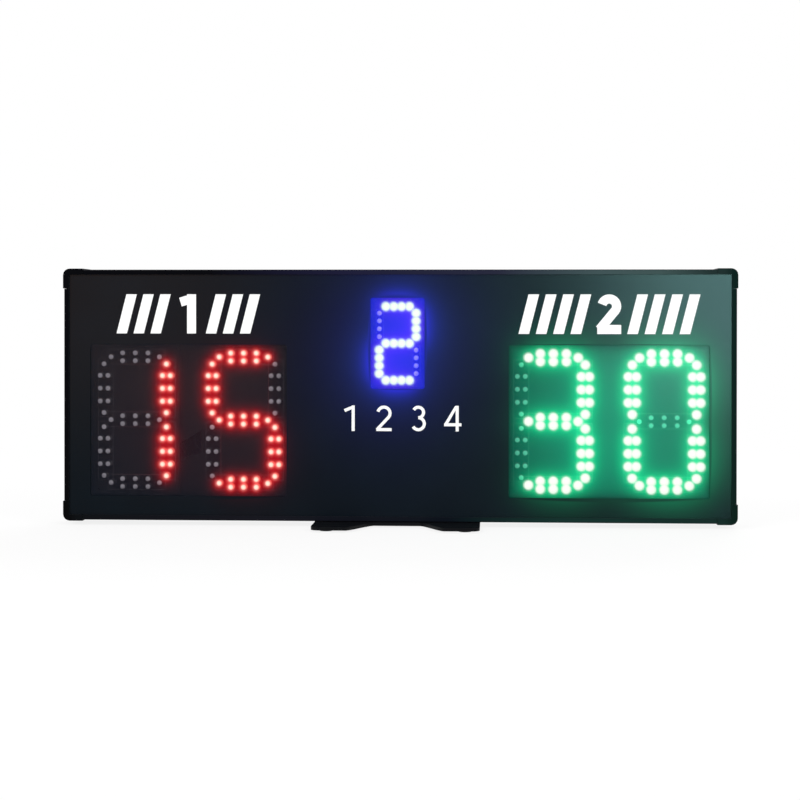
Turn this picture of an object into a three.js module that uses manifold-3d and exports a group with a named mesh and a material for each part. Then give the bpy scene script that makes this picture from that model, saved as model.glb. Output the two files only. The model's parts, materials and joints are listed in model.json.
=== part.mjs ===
// Electronic scoreboard: an aluminium frame with plastic corner caps, a tinted front panel, five LED
// figures on a moulded carrier, a rear cover with its switch and inlet, and a foot that folds against
// the back. Lengths are in millimetres. X runs to the right as seen from the front, Y from the front to
// the back, and Z up.

import * as THREE from 'three';
import { mergeVertices } from 'three/addons/utils/BufferGeometryUtils.js';
import Module from 'manifold-3d';

const wasm = await Module();
wasm.setup();

// Housing, measured over its corner caps.
const housingWidth = 608;
const housingHeight = 229;
const housingDepth = 42;

// Gap between pieces that lie against each other, and how far a cut runs past the face it opens.
const fit = 0.3;
const overrun = 1;
const rootDepth = 0.5;

// Extruded frame rails.
const railWall = 1.6;
const railEdgeRadius = 1;
const lipWidth = 4.5;
const lipThickness = 1.5;
const ribThickness = 1.5;
const ribReach = 6;
const ledgeReach = 11;
const ledgeThickness = 3;

// Corner caps, which stand proud of the rails and plug into them with two tongues a leg.
const capLeg = 18;
const capProud = 1;
const capRadius = 6;
const tongueLength = 14;

// Flat sheets held by the frame.
const panelThickness = 2;
const carrierThickness = 2;
const coverThickness = 1.2;
const sheetRadius = 3;

// Window lenses, flush in the panel's openings, with a flange behind the panel.
const windowRadius = 2;
const windowFlange = 4;
const windowFlangeThickness = 1.5;

// LEDs with a domed lens, and the boards that carry them.
const ledRadius = 2.5;
const ledHeight = 8.4;
const ledDome = 1.2;
const ledWindowGap = 0.8;
const boardThickness = 1.6;
const boardRimWidth = 7.5;
const boardRise = 3.5;

// Figures: the length of one segment, and where its LEDs lie along and across it.
const scoreStrokeLength = 57.3;
const scoreLedPitch = 11.65;
const scorePairWidth = 7.1;
const scoreLedEnd = 22.2;
const middleStrokeLength = 33.3;
const middleLedPitch = 7.1;
const figurePitch = 99.2;
const scoreSideMargin = 25;
const scoreBottomMargin = 23.2;
const middleTopMargin = 26.7;

// Moulded posts that carry a board, two of each four with a pin through the board.
const postRadius = 3;
const stakeRadius = 1.2;
const stakeEnd = 1;
const stakeInset = 4;

// Plug blocks and the ribbon cables between them.
const plugWidth = 14;
const plugHeight = 20;
const plugDepth = 8;
const ribbonWidth = 15;
const ribbonThickness = 1.2;
const ribbonBend = 4;
const ribbonCrown = 5;
const ribbonShift = 3.5;

// Control board on the back of the carrier.
const controlWidth = 112;
const controlHeight = 62;
const controlRise = 4.4;
const controlDrop = 13;
const chipSize = 14;
const chipHeight = 1.6;
const chipPlace = 23;
const receiverWidth = 26;
const receiverHeight = 17;
const receiverRise = 2.5;
const shieldHeight = 2.4;

// Battery pack, its tray ribs and its clamp.
const batteryWidth = 104;
const batteryHeight = 52;
const batteryDepth = 11;
const batteryRadius = 4;
const batteryLift = 66;
const trayRib = 2;
const trayRibDepth = 6;
const clampWidth = 18;
const clampThickness = 1;
const clampFoot = 11;

// Sounder behind its slots in the rear cover.
const sounderRadius = 15;
const sounderDepth = 9;
const sounderThroat = 3;
const sounderWall = 1.2;
const sounderLift = 66;
const sounderEar = 21;
const sounderEarWidth = 8;
const sounderEarDepth = 2;
const soundSlotWidth = 1.8;
const soundSlotLength = 16;
const soundSlotPitch = 5;

// Screws: shank and head, and the cover's rows of them.
const screwRadius = 1.4;
const screwLength = 6;
const screwHeadRadius = 2.8;
const screwHeadHeight = 1.8;
const ledgeHoleReach = 6.6;
const longRailScrewShares = [-0.42, -0.14, 0.14, 0.42];
const shortRailScrewShares = [0];

// Keyhole slots for two wall screws.
const keyholeSpacing = 300;
const keyholeTopMargin = 36;
const keyholeHeadRadius = 5;
const keyholeNeckRadius = 2.4;
const keyholeTravel = 10;

// Power switch and its rocker.
const switchSideMargin = 62;
const switchBottomMargin = 36;
const switchWidth = 12.8;
const switchHeight = 19;
const switchDepth = 11.5;
const switchFlange = 1.3;
const switchFlangeThickness = 2;
const switchWall = 1.4;
const rockerRadius = 7.4;
const rockerCrest = 2.2;
const rockerDip = 0.8;
const rockerTilt = 12;
const rockerPinRadius = 1;
const bladeWidth = 4.8;
const bladeThickness = 0.8;
const bladeLength = 4;
const bladeSpacing = 9;

// Power inlet and its nut.
const inletSpacing = 30;
const inletRadius = 4;
const inletFlangeRadius = 6;
const inletFlange = 2;
const inletBoreRadius = 3.1;
const inletBoreDepth = 9;
const inletPinRadius = 1;
const inletPinSink = 1.2;
const inletLength = 14;
const inletNutRadius = 7;
const inletNutThickness = 2.4;

// Insulated leads.
const leadRadius = 1.4;
const leadSides = 6;
const leadSteps = 10;

// Foot plate, its pads and its hinge.
const footWidth = 149;
const footThickness = 3;
const prongReach = 42;
const prongInner = 43;
const prongRadius = 8;
const notchHalfWidth = 21;
const notchReach = 4;
const notchEase = 4;
const padRadius = 6;
const padThickness = 1.2;
const padInset = 13;
const knuckleRadius = 4;
const hingePinRadius = 2;
const hingePinHeadRadius = 3.4;
const hingePinHead = 1.5;
const hingeStandoff = 10;
const hingeLength = 96;
const knuckleLength = 12;
const knucklePlace = 26;
const leafThickness = 2;
const leafHeight = 13;
const leafScrewPlace = 38;

// Smoothness of round forms: sides of a full turn, and steps of an outline's arcs.
const roundSides = 12;
const screwSides = 6;
const ledSides = 6;
const postSides = 6;
const sheetSteps = 1;
const cornerSteps = 2;
const keyholeSteps = 4;
const curveSteps = 6;
const weldDistance = 1e-4;

// Depths inside the housing, measured from the front face.
const panelFront = lipThickness + fit;
const panelBack = panelFront + panelThickness;
const panelRibFront = panelBack + fit;
const windowBack = panelBack + fit + windowFlangeThickness;
const ledTip = windowBack + ledWindowGap;
const boardFront = ledTip + ledHeight;
const boardBack = boardFront + boardThickness;
const carrierFront = boardBack + boardRise;
const carrierBack = carrierFront + carrierThickness;
const coverFront = housingDepth - coverThickness;
const ledgeBack = coverFront - fit;
const ledgeFront = ledgeBack - ledgeThickness;
const controlFront = carrierBack + controlRise + fit;
const controlBack = controlFront + boardThickness;
const plugBack = boardBack + plugDepth;
const controlPlugBack = controlBack + plugDepth - ribbonCrown;

// Sections of the frame, from its outer faces.
const railHalfWidth = housingWidth / 2 - capProud;
const railHalfHeight = housingHeight / 2 - capProud;
const grooveInset = capProud + railWall;
const sheetHalfWidth = housingWidth / 2 - grooveInset - fit;
const sheetHalfHeight = housingHeight / 2 - grooveInset - fit;
const longRail = housingWidth - 2 * (capLeg + fit);
const shortRail = housingHeight - 2 * (capLeg + fit);

// Half sizes of the figure boards, and the places of the figures.
const scoreHalfWidth = scoreStrokeLength / 2 + scorePairWidth / 2 + boardRimWidth;
const scoreHalfHeight = scoreStrokeLength + scorePairWidth / 2 + boardRimWidth;
const middleHalfWidth = middleStrokeLength / 2 + boardRimWidth;
const middleHalfHeight = middleStrokeLength + boardRimWidth;
const scorePairHalfWidth = figurePitch / 2 + scoreHalfWidth;
const scoreX = housingWidth / 2 - scoreSideMargin - scorePairHalfWidth;
const scoreZ = scoreBottomMargin + scoreHalfHeight - housingHeight / 2;
const middleZ = housingHeight / 2 - middleTopMargin - middleHalfHeight;
const controlZ = scoreZ - controlHeight / 2 + controlDrop;

// Levels of the foot and the hinge, with the table at zero.
const footBottom = padThickness + fit;
const footTop = footBottom + footThickness;
const housingZ = footTop + fit + railHalfHeight;
const hingeZ = footBottom + knuckleRadius;
const footDepth = prongReach + housingDepth + hingeStandoff;
const hingeY = (footDepth + knuckleRadius) / 2 - knuckleRadius;
const housingY = hingeY - hingeStandoff - housingDepth;

// Places on the back of the housing.
const switchX = housingWidth / 2 - switchSideMargin;
const switchZ = switchBottomMargin - housingHeight / 2;
const inletX = switchX + inletSpacing;
const keyholeZ = housingHeight / 2 - keyholeTopMargin;
const batteryZ = scoreZ + batteryLift;
const sounderZ = scoreZ + sounderLift;

const segmentShares = [
  { x: 0, z: 1, flat: true },
  { x: 0.5, z: 0.5, flat: false },
  { x: 0.5, z: -0.5, flat: false },
  { x: 0, z: -1, flat: true },
  { x: -0.5, z: -0.5, flat: false },
  { x: -0.5, z: 0.5, flat: false },
  { x: 0, z: 0, flat: true },
];

function finish(color, roughness, metalness) {
  return new THREE.MeshStandardMaterial({ color, roughness, metalness });
}

const blackAluminium = () => finish(0x141416, 0.42, 0.7);
const blackPlastic = () => finish(0x121214, 0.5, 0);
const blackSteel = () => finish(0x161617, 0.45, 0.4);
const tintedSheet = () => finish(0x14161e, 0.12, 0);
const smokedLens = () => Object.assign(finish(0x30323a, 0.08, 0), { transparent: true, opacity: 0.35 });
const ledBoard = () => finish(0x4a4c50, 0.55, 0);
const greenBoard = () => finish(0x14482c, 0.5, 0);
const zincSteel = () => finish(0xa8aaad, 0.35, 0.9);
const greyCable = () => finish(0x8c8e92, 0.6, 0);
const darkRubber = () => finish(0x1a1a1a, 0.85, 0);

// Solids

function solidFrom(geometry) {
  const bare = geometry.index ? geometry.toNonIndexed() : geometry.clone();
  bare.deleteAttribute('normal');
  bare.deleteAttribute('uv');
  const merged = mergeVertices(bare, weldDistance);
  const corners = merged.index.array;
  const kept = [];
  for (let i = 0; i < corners.length; i += 3) {
    const [a, b, c] = corners.slice(i, i + 3);
    if (a !== b && b !== c && c !== a) {
      kept.push(a, b, c);
    }
  }
  const vertProperties = new Float32Array(merged.attributes.position.array);
  const triVerts = new Uint32Array(kept);
  return new wasm.Manifold(new wasm.Mesh({ numProp: 3, vertProperties, triVerts }));
}

function joined(solids) {
  return solids.reduce((whole, next) => whole.add(next));
}

function cut(solid, tools) {
  return tools.reduce((left, tool) => left.subtract(tool), solid);
}

function mesh(name, solid, material) {
  const { vertProperties, triVerts } = solid.getMesh();
  const geometry = new THREE.BufferGeometry();
  geometry.setAttribute('position', new THREE.BufferAttribute(new Float32Array(vertProperties), 3));
  geometry.setIndex(new THREE.BufferAttribute(new Uint32Array(triVerts), 1));
  const flat = geometry.toNonIndexed();
  flat.computeVertexNormals();
  const piece = new THREE.Mesh(flat, material);
  piece.name = name;
  return piece;
}

function placed(piece, x, y, z) {
  piece.position.set(x, y, z);
  return piece;
}

const alongX = new THREE.Matrix4().makeBasis(
  new THREE.Vector3(0, 1, 0),
  new THREE.Vector3(0, 0, 1),
  new THREE.Vector3(1, 0, 0),
);
const alongY = new THREE.Matrix4().makeBasis(
  new THREE.Vector3(1, 0, 0),
  new THREE.Vector3(0, 0, 1),
  new THREE.Vector3(0, -1, 0),
);

function extruded(shape, depth, curveSegments) {
  return new THREE.ExtrudeGeometry(shape, { depth, bevelEnabled: false, curveSegments });
}

// An outline in Y and Z, carried along X.
function prismX(shape, from, to, steps) {
  return solidFrom(extruded(shape, to - from, steps).applyMatrix4(alongX).translate(from, 0, 0));
}

// An outline in X and Z, carried along Y.
function prismY(shape, from, to, steps) {
  return solidFrom(extruded(shape, to - from, steps).applyMatrix4(alongY).translate(0, to, 0));
}

// An outline in X and Y, carried along Z.
function prismZ(shape, from, to, steps) {
  return solidFrom(extruded(shape, to - from, steps).translate(0, 0, from));
}

function block(x0, x1, y0, y1, z0, z1) {
  const box = new THREE.BoxGeometry(x1 - x0, y1 - y0, z1 - z0);
  return solidFrom(box.translate((x0 + x1) / 2, (y0 + y1) / 2, (z0 + z1) / 2));
}

// A profile of [radius, place along Y] points turned about the Y axis.
function turned(profile, sides) {
  return new THREE.LatheGeometry(profile.map(([r, y]) => new THREE.Vector2(r, y)), sides);
}

function rod(radius, from, to, sides) {
  return solidFrom(turned([[0, from], [radius, from], [radius, to], [0, to]], sides));
}

function outline(points) {
  return new THREE.Shape(points.map(([a, b]) => new THREE.Vector2(a, b)));
}

function roundedRectangle(halfWidth, halfHeight, radius, path = new THREE.Shape()) {
  path.absarc(halfWidth - radius, halfHeight - radius, radius, 0, Math.PI / 2);
  path.absarc(radius - halfWidth, halfHeight - radius, radius, Math.PI / 2, Math.PI);
  path.absarc(radius - halfWidth, radius - halfHeight, radius, Math.PI, 1.5 * Math.PI);
  path.absarc(halfWidth - radius, radius - halfHeight, radius, 1.5 * Math.PI, 2 * Math.PI);
  path.closePath();
  return path;
}

// The outline that every full sheet has: it fits inside the frame's walls.
function sheetOutline() {
  return roundedRectangle(sheetHalfWidth, sheetHalfHeight, sheetRadius);
}

// Frame rails and corner caps

// Every rib that stands in from the wall: its depths from the front and its reach from the outer face.
const frameRibs = [
  { front: ledgeFront, back: ledgeBack, reach: ledgeReach },
  { front: carrierBack + fit, back: carrierBack + fit + ribThickness, reach: ribReach },
  { front: carrierFront - fit - ribThickness, back: carrierFront - fit, reach: ribReach },
  { front: panelRibFront, back: panelRibFront + ribThickness, reach: ribReach },
  { front: 0, back: lipThickness, reach: lipWidth },
];

// The two pockets between ribs that take a cap's tongues.
const tonguePockets = [
  { front: panelRibFront + ribThickness, back: carrierFront - fit - ribThickness },
  { front: carrierBack + fit + ribThickness, back: ledgeFront },
];

function railOutline() {
  const points = [[housingDepth, 0], [housingDepth, railWall]];
  for (const rib of frameRibs) {
    points.push([rib.back, railWall], [rib.back, rib.reach], [rib.front, rib.reach]);
    if (rib.front > 0) {
      points.push([rib.front, railWall]);
    }
  }
  points.push([0, railEdgeRadius]);
  const shape = outline(points);
  shape.absarc(railEdgeRadius, railEdgeRadius, railEdgeRadius, Math.PI, 1.5 * Math.PI);
  return shape;
}

// A rail lies along X with its outer face down; the frame turns it to its side.
function rail(length, screwPlaces) {
  const bar = prismX(railOutline(), -length / 2, length / 2, cornerSteps);
  const hole = rod(screwRadius + fit, ledgeFront - overrun, housingDepth, screwSides);
  return cut(bar, screwPlaces.map((x) => hole.translate([x, 0, ledgeHoleReach])));
}

function cornerOutline(width) {
  const inner = [[capLeg, 0], [capLeg, width], [width, width], [width, capLeg]];
  const shape = outline([...inner, [0, capLeg], [0, capRadius]]);
  shape.absarc(capRadius, capRadius, capRadius, Math.PI, 1.5 * Math.PI);
  return shape;
}

// The tongue of one leg in one pocket, with the root that ties it to the cap's wall.
function capTongue(pocket, upright) {
  const front = pocket.front + fit;
  const back = pocket.back - fit;
  const inner = capProud + ribReach;
  const root = [grooveInset, capLeg, capProud, inner];
  const tongue = [capLeg - overrun, capLeg + tongueLength, grooveInset + fit, inner];
  const parts = [root, tongue].map(([u0, u1, v0, v1]) =>
    upright ? block(v0, v1, front, back, u0, u1) : block(u0, u1, front, back, v0, v1));
  return joined(parts);
}

function cornerCap() {
  const wall = prismY(cornerOutline(grooveInset), 0, housingDepth, cornerSteps);
  const ribs = frameRibs.map((rib) =>
    prismY(cornerOutline(capProud + rib.reach), rib.front, rib.back, cornerSteps));
  const tongues = tonguePockets.flatMap((pocket) => [capTongue(pocket, false), capTongue(pocket, true)]);
  return joined([wall, ...ribs, ...tongues]);
}

// Where the screws of the cover and of the hinge's leaf lie along the rails.
const coverScrewX = longRailScrewShares.map((share) => share * longRail);
const coverScrewZ = shortRailScrewShares.map((share) => share * shortRail);
const leafScrewX = [-leafScrewPlace, 0, leafScrewPlace];

function frame() {
  const group = new THREE.Group();
  const turns = [
    { name: 'bottom_rail', turn: 0, length: longRail, holes: [...coverScrewX, ...leafScrewX] },
    { name: 'left_rail', turn: 1, length: shortRail, holes: coverScrewZ },
    { name: 'top_rail', turn: 2, length: longRail, holes: coverScrewX },
    { name: 'right_rail', turn: 3, length: shortRail, holes: coverScrewZ },
  ];
  for (const { name, turn, length, holes } of turns) {
    const piece = mesh(name, rail(length, holes), blackAluminium());
    const side = [0, -railHalfWidth, 0, railHalfWidth][turn];
    const level = [-railHalfHeight, 0, railHalfHeight, 0][turn];
    piece.rotation.y = turn * Math.PI / 2;
    group.add(placed(piece, side, 0, level));
  }
  const corners = ['bottom_left_cap', 'top_left_cap', 'top_right_cap', 'bottom_right_cap'];
  corners.forEach((name, turn) => {
    const piece = mesh(name, cornerCap(), blackPlastic());
    const side = [-1, -1, 1, 1][turn] * housingWidth / 2;
    const level = [-1, 1, 1, -1][turn] * housingHeight / 2;
    piece.rotation.y = turn * Math.PI / 2;
    group.add(placed(piece, side, 0, level));
  });
  return group;
}

// Front panel and its windows

const scoreWindow = { z: scoreZ, halfWidth: scorePairHalfWidth, halfHeight: scoreHalfHeight };
const windows = [
  { name: 'left_window', x: -scoreX, ...scoreWindow },
  { name: 'right_window', x: scoreX, ...scoreWindow },
  { name: 'middle_window', x: 0, z: middleZ, halfWidth: middleHalfWidth, halfHeight: middleHalfHeight },
];

function frontPanel() {
  const sheet = prismY(sheetOutline(), panelFront, panelBack, sheetSteps);
  const openings = windows.map(({ x, z, halfWidth, halfHeight }) => {
    const edge = roundedRectangle(halfWidth + fit, halfHeight + fit, windowRadius + fit);
    return prismY(edge, panelFront - overrun, panelBack + overrun, sheetSteps).translate([x, 0, z]);
  });
  return mesh('front_panel', cut(sheet, openings), tintedSheet());
}

function windowLenses() {
  const group = new THREE.Group();
  for (const { name, x, z, halfWidth, halfHeight } of windows) {
    const pane = roundedRectangle(halfWidth, halfHeight, windowRadius);
    const rim = roundedRectangle(halfWidth + windowFlange, halfHeight + windowFlange, windowRadius);
    const face = prismY(pane, panelFront, windowBack, sheetSteps);
    const flange = prismY(rim, panelBack + fit, windowBack, sheetSteps);
    group.add(placed(mesh(name, face.add(flange), smokedLens()), x, 0, z));
  }
  return group;
}

// LED figures

// An LED looks forward, with its dome's tip at the front and its foot sunk into its board.
function led() {
  const dome = ledTip + ledDome;
  const foot = boardFront + rootDepth;
  return solidFrom(turned([[0, ledTip], [ledRadius, dome], [ledRadius, foot], [0, foot]], ledSides));
}

function ledPlaces(segment, spots) {
  return segmentShares.flatMap(({ x, z, flat }) =>
    spots.map(([along, across]) => [
      x * segment + (flat ? along : across),
      z * segment + (flat ? across : along),
    ]));
}

function boardStakes(halfWidth, halfHeight) {
  const x = halfWidth - stakeInset;
  const z = halfHeight - stakeInset;
  return [[-x, -z], [x, -z], [x, z], [-x, z]];
}

// Every second post has a pin, which takes a hole in the board.
function pinned(places) {
  return places.filter((place, i) => i % 2 === 0);
}

function stakeHoles(places, from, to) {
  return pinned(places).map(([x, z]) =>
    rod(stakeRadius + fit, from - overrun, to + overrun, postSides).translate([x, 0, z]));
}

function figureBoard(segment, spots, halfWidth, halfHeight) {
  const sheet = block(-halfWidth, halfWidth, boardFront, boardBack, -halfHeight, halfHeight);
  const board = cut(sheet, stakeHoles(boardStakes(halfWidth, halfHeight), boardFront, boardBack));
  const lens = led();
  const lenses = ledPlaces(segment, spots).map(([x, z]) => lens.translate([x, 0, z]));
  const plug = block(-plugWidth / 2, plugWidth / 2, boardBack - rootDepth, plugBack,
    -plugHeight / 2, plugHeight / 2);
  return joined([board, plug, ...lenses]);
}

const scoreSpots = [
  [-scoreLedEnd, 0],
  [scoreLedEnd, 0],
  ...[-scoreLedPitch, 0, scoreLedPitch].flatMap((along) => [
    [along, -scorePairWidth / 2],
    [along, scorePairWidth / 2],
  ]),
];
const middleSpotShares = [-1.5, -0.5, 0.5, 1.5];
const middleSpots = middleSpotShares.map((share) => [share * middleLedPitch, 0]);

const figures = [
  { name: 'left_tens_figure', x: -scoreX - figurePitch / 2, z: scoreZ, large: true },
  { name: 'left_units_figure', x: -scoreX + figurePitch / 2, z: scoreZ, large: true },
  { name: 'right_tens_figure', x: scoreX - figurePitch / 2, z: scoreZ, large: true },
  { name: 'right_units_figure', x: scoreX + figurePitch / 2, z: scoreZ, large: true },
  { name: 'middle_figure', x: 0, z: middleZ, large: false },
];

function ledFigures() {
  const group = new THREE.Group();
  const large = figureBoard(scoreStrokeLength, scoreSpots, scoreHalfWidth, scoreHalfHeight);
  const small = figureBoard(middleStrokeLength, middleSpots, middleHalfWidth, middleHalfHeight);
  for (const figure of figures) {
    const piece = mesh(figure.name, figure.large ? large : small, ledBoard());
    group.add(placed(piece, figure.x, 0, figure.z));
  }
  return group;
}

// Carrier

// A post from the carrier to a board's near face, along +Y for a sign of 1 and -Y for a sign of -1.
function post(base, boardNear, sign) {
  const ends = [base - sign * rootDepth, boardNear - sign * fit];
  return rod(postRadius, Math.min(...ends), Math.max(...ends), postSides);
}

// The pin on a post, which runs through the board and a little past it.
function stakePin(boardNear, sign) {
  const ends = [boardNear - sign * (fit + rootDepth), boardNear + sign * (boardThickness + stakeEnd)];
  return rod(stakeRadius, Math.min(...ends), Math.max(...ends), postSides);
}

function boardPosts(places, base, boardNear, sign) {
  const posts = places.map(([x, z]) => post(base, boardNear, sign).translate([x, 0, z]));
  const pins = pinned(places).map(([x, z]) => stakePin(boardNear, sign).translate([x, 0, z]));
  return [...posts, ...pins];
}

function batteryTray() {
  const left = -scoreX - batteryWidth / 2 - fit;
  const right = -scoreX + batteryWidth / 2 + fit;
  const bottom = batteryZ - batteryHeight / 2 - fit;
  const back = carrierBack + trayRibDepth;
  const front = carrierBack - rootDepth;
  return [
    block(left - trayRib, left, front, back, bottom - trayRib, batteryZ),
    block(right, right + trayRib, front, back, bottom - trayRib, batteryZ),
    block(left - trayRib, right + trayRib, front, back, bottom - trayRib, bottom),
  ];
}

// The clamp's legs stand just outside the tray, with a screw beyond each.
const clampLegX = batteryWidth / 2 + fit + trayRib + fit;
const clampScrewX = [-1, 1].map((side) => -scoreX + side * (clampLegX + clampFoot / 2));

function clampPosts() {
  const bossEnd = carrierBack + screwLength;
  const boss = rod(postRadius, carrierBack - rootDepth, bossEnd, screwSides);
  const hole = rod(screwRadius + fit, carrierBack + fit, bossEnd + overrun, screwSides);
  const drilled = boss.subtract(hole);
  return clampScrewX.map((x) => drilled.translate([x, 0, batteryZ]));
}

const controlCorners = boardStakes(controlWidth / 2, controlHeight / 2);
const controlStakes = controlCorners.map(([x, z]) => [x, z + controlZ]);

function displayCarrier() {
  const sheet = prismY(sheetOutline(), carrierFront, carrierBack, sheetSteps);
  const slotHalfWidth = plugWidth / 2 + fit;
  const slotHalfHeight = plugHeight / 2 + fit;
  const plugSlot = block(-slotHalfWidth, slotHalfWidth, carrierFront - overrun, carrierBack + overrun,
    -slotHalfHeight, slotHalfHeight);
  const plugSlots = figures.map(({ x, z }) => plugSlot.translate([x, 0, z]));
  const frontPosts = figures.flatMap(({ x, z, large }) => {
    const halfWidth = large ? scoreHalfWidth : middleHalfWidth;
    const halfHeight = large ? scoreHalfHeight : middleHalfHeight;
    const corners = boardStakes(halfWidth, halfHeight);
    return boardPosts(corners.map(([u, w]) => [x + u, z + w]), carrierFront, boardBack, -1);
  });
  const backPosts = boardPosts(controlStakes, carrierBack, controlFront, 1);
  const posts = [...frontPosts, ...backPosts, ...clampPosts()];
  const carrier = joined([cut(sheet, plugSlots), ...posts, ...batteryTray()]);
  return mesh('display_carrier', carrier, blackPlastic());
}

// Electronics behind the carrier

const controlPlugs = [
  { x: -controlWidth / 2 + plugWidth, z: scoreZ },
  { x: controlWidth / 2 - plugWidth, z: scoreZ },
  { x: 0, z: scoreZ },
];
const leadPlugX = controlWidth / 2 - plugWidth;
const leadPlugZ = controlZ - controlHeight / 2 + plugHeight / 2;

function controlBoard() {
  const sheet = roundedRectangle(controlWidth / 2, controlHeight / 2, stakeRadius);
  const board = prismY(sheet, controlFront, controlBack, sheetSteps).translate([0, 0, controlZ]);
  const drilled = cut(board, stakeHoles(controlStakes, controlFront, controlBack));
  const near = controlBack - rootDepth;
  const plug = block(-plugWidth / 2, plugWidth / 2, near, controlPlugBack,
    -plugHeight / 2, plugHeight / 2);
  const plugs = controlPlugs.map(({ x, z }) => plug.translate([x, 0, z]));
  const chips = [-1, 1].map((side) => {
    const x = side * chipPlace;
    return block(x - chipSize / 2, x + chipSize / 2, near, controlBack + chipHeight,
      controlZ - chipSize, controlZ);
  });
  return mesh('control_board', joined([drilled, ...plugs, ...chips]), greenBoard());
}

function receiverModule() {
  const half = receiverWidth / 2;
  const front = controlBack + fit;
  const feet = block(-half, half, front, front + receiverRise, 0, receiverRise);
  const board = block(-half, half, front + receiverRise - rootDepth,
    front + receiverRise + boardThickness, 0, receiverHeight);
  const shieldFront = front + receiverRise + boardThickness - rootDepth;
  const shield = block(-receiverWidth / 4, receiverWidth / 4, shieldFront, shieldFront + shieldHeight,
    receiverHeight / 4, receiverHeight - receiverHeight / 4);
  const level = controlZ - controlHeight / 2 + stakeInset;
  return placed(mesh('receiver_module', joined([feet, board, shield]), greenBoard()), 0, 0, level);
}

// A flat cable that leaves one plug backwards, bends, runs across and comes forward to another plug.
function ribbonOutline(x0, back0, x1, back1) {
  const half = ribbonThickness / 2;
  const crown = Math.max(back0, back1) + ribbonCrown;
  const shape = new THREE.Shape();
  shape.moveTo(x0 - half, back0 + fit);
  shape.lineTo(x0 + half, back0 + fit);
  shape.lineTo(x0 + half, crown - ribbonBend);
  shape.quadraticCurveTo(x0 + half, crown - half, x0 + ribbonBend, crown - half);
  shape.lineTo(x1 - ribbonBend, crown - half);
  shape.quadraticCurveTo(x1 - half, crown - half, x1 - half, crown - ribbonBend);
  shape.lineTo(x1 - half, back1 + fit);
  shape.lineTo(x1 + half, back1 + fit);
  shape.lineTo(x1 + half, crown - ribbonBend);
  shape.quadraticCurveTo(x1 + half, crown + half, x1 - ribbonBend, crown + half);
  shape.lineTo(x0 + ribbonBend, crown + half);
  shape.quadraticCurveTo(x0 - half, crown + half, x0 - half, crown - ribbonBend);
  shape.closePath();
  return shape;
}

function ribbonCables() {
  const group = new THREE.Group();
  const innerX = scoreX - figurePitch / 2;
  const outerX = scoreX + figurePitch / 2;
  const boardX = controlWidth / 2 - plugWidth;
  const runs = [
    { name: 'left_inner_ribbon', ends: [-innerX + ribbonShift, plugBack, -boardX, controlPlugBack] },
    { name: 'left_outer_ribbon', ends: [-outerX, plugBack, -innerX - ribbonShift, plugBack] },
    { name: 'right_inner_ribbon', ends: [boardX, controlPlugBack, innerX - ribbonShift, plugBack] },
    { name: 'right_outer_ribbon', ends: [innerX + ribbonShift, plugBack, outerX, plugBack] },
  ];
  for (const { name, ends } of runs) {
    const path = ribbonOutline(...ends);
    const strip = prismZ(path, scoreZ - ribbonWidth / 2, scoreZ + ribbonWidth / 2, cornerSteps);
    group.add(mesh(name, strip, greyCable()));
  }
  const riseOutline = ribbonOutline(-middleZ, plugBack, -scoreZ, controlPlugBack);
  const rise = prismZ(riseOutline, -ribbonWidth / 2, ribbonWidth / 2, cornerSteps);
  const upright = mesh('middle_ribbon', rise, greyCable());
  upright.rotation.y = Math.PI / 2;
  group.add(upright);
  return group;
}

function batteryPack() {
  const sleeve = roundedRectangle(batteryWidth / 2, batteryHeight / 2, batteryRadius);
  const front = carrierBack + fit;
  const pack = prismY(sleeve, front, front + batteryDepth, cornerSteps);
  return placed(mesh('battery_pack', pack, finish(0x1f4f8c, 0.4, 0)), -scoreX, 0, batteryZ);
}

// A strap over the battery, with a foot at each end on a post of the carrier.
function batteryClamp() {
  const [leftX, rightX] = clampScrewX.map((x) => x + scoreX);
  const footFront = carrierBack + screwLength + fit;
  const footBack = footFront + clampThickness;
  const strapFront = carrierBack + fit + batteryDepth + fit;
  const strapBack = strapFront + clampThickness;
  const left = leftX - clampFoot / 2;
  const right = rightX + clampFoot / 2;
  const legOuterX = clampLegX + clampThickness;
  const strap = outline([
    [left, footFront], [-clampLegX, footFront], [-clampLegX, strapFront], [clampLegX, strapFront],
    [clampLegX, footFront], [right, footFront], [right, footBack], [legOuterX, footBack],
    [legOuterX, strapBack], [-legOuterX, strapBack], [-legOuterX, footBack], [left, footBack],
  ]);
  const hole = rod(screwRadius + fit, footFront - overrun, footBack + overrun, screwSides);
  const holes = [leftX, rightX].map((x) => hole.translate([x, 0, 0]));
  const body = cut(prismZ(strap, -clampWidth / 2, clampWidth / 2, sheetSteps), holes);
  return placed(mesh('battery_clamp', body, zincSteel()), -scoreX, 0, batteryZ);
}

function sounder() {
  const back = coverFront - fit;
  const front = back - sounderDepth;
  const floor = front + sounderWall;
  const profile = [[0, front], [sounderRadius, front], [sounderRadius, back], [sounderThroat, back],
    [sounderThroat, floor], [0, floor]];
  const can = solidFrom(turned(profile, roundSides));
  const ears = block(-sounderEar, sounderEar, back - sounderEarDepth, back,
    -sounderEarWidth / 2, sounderEarWidth / 2);
  const throat = rod(sounderThroat, floor, back + overrun, roundSides);
  return placed(mesh('sounder', can.add(ears).subtract(throat), blackPlastic()), scoreX, 0, sounderZ);
}

// Rear cover and what is fixed to it

// A keyhole: a round head hole below a narrower slot that runs up from it.
function keyhole(from, to) {
  const half = Math.asin(keyholeNeckRadius / keyholeHeadRadius);
  const shape = new THREE.Shape();
  shape.absarc(0, 0, keyholeHeadRadius, Math.PI / 2 + half, Math.PI / 2 - half + 2 * Math.PI);
  shape.absarc(0, keyholeTravel, keyholeNeckRadius, 0, Math.PI);
  shape.closePath();
  return prismY(shape, from, to, keyholeSteps);
}

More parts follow.
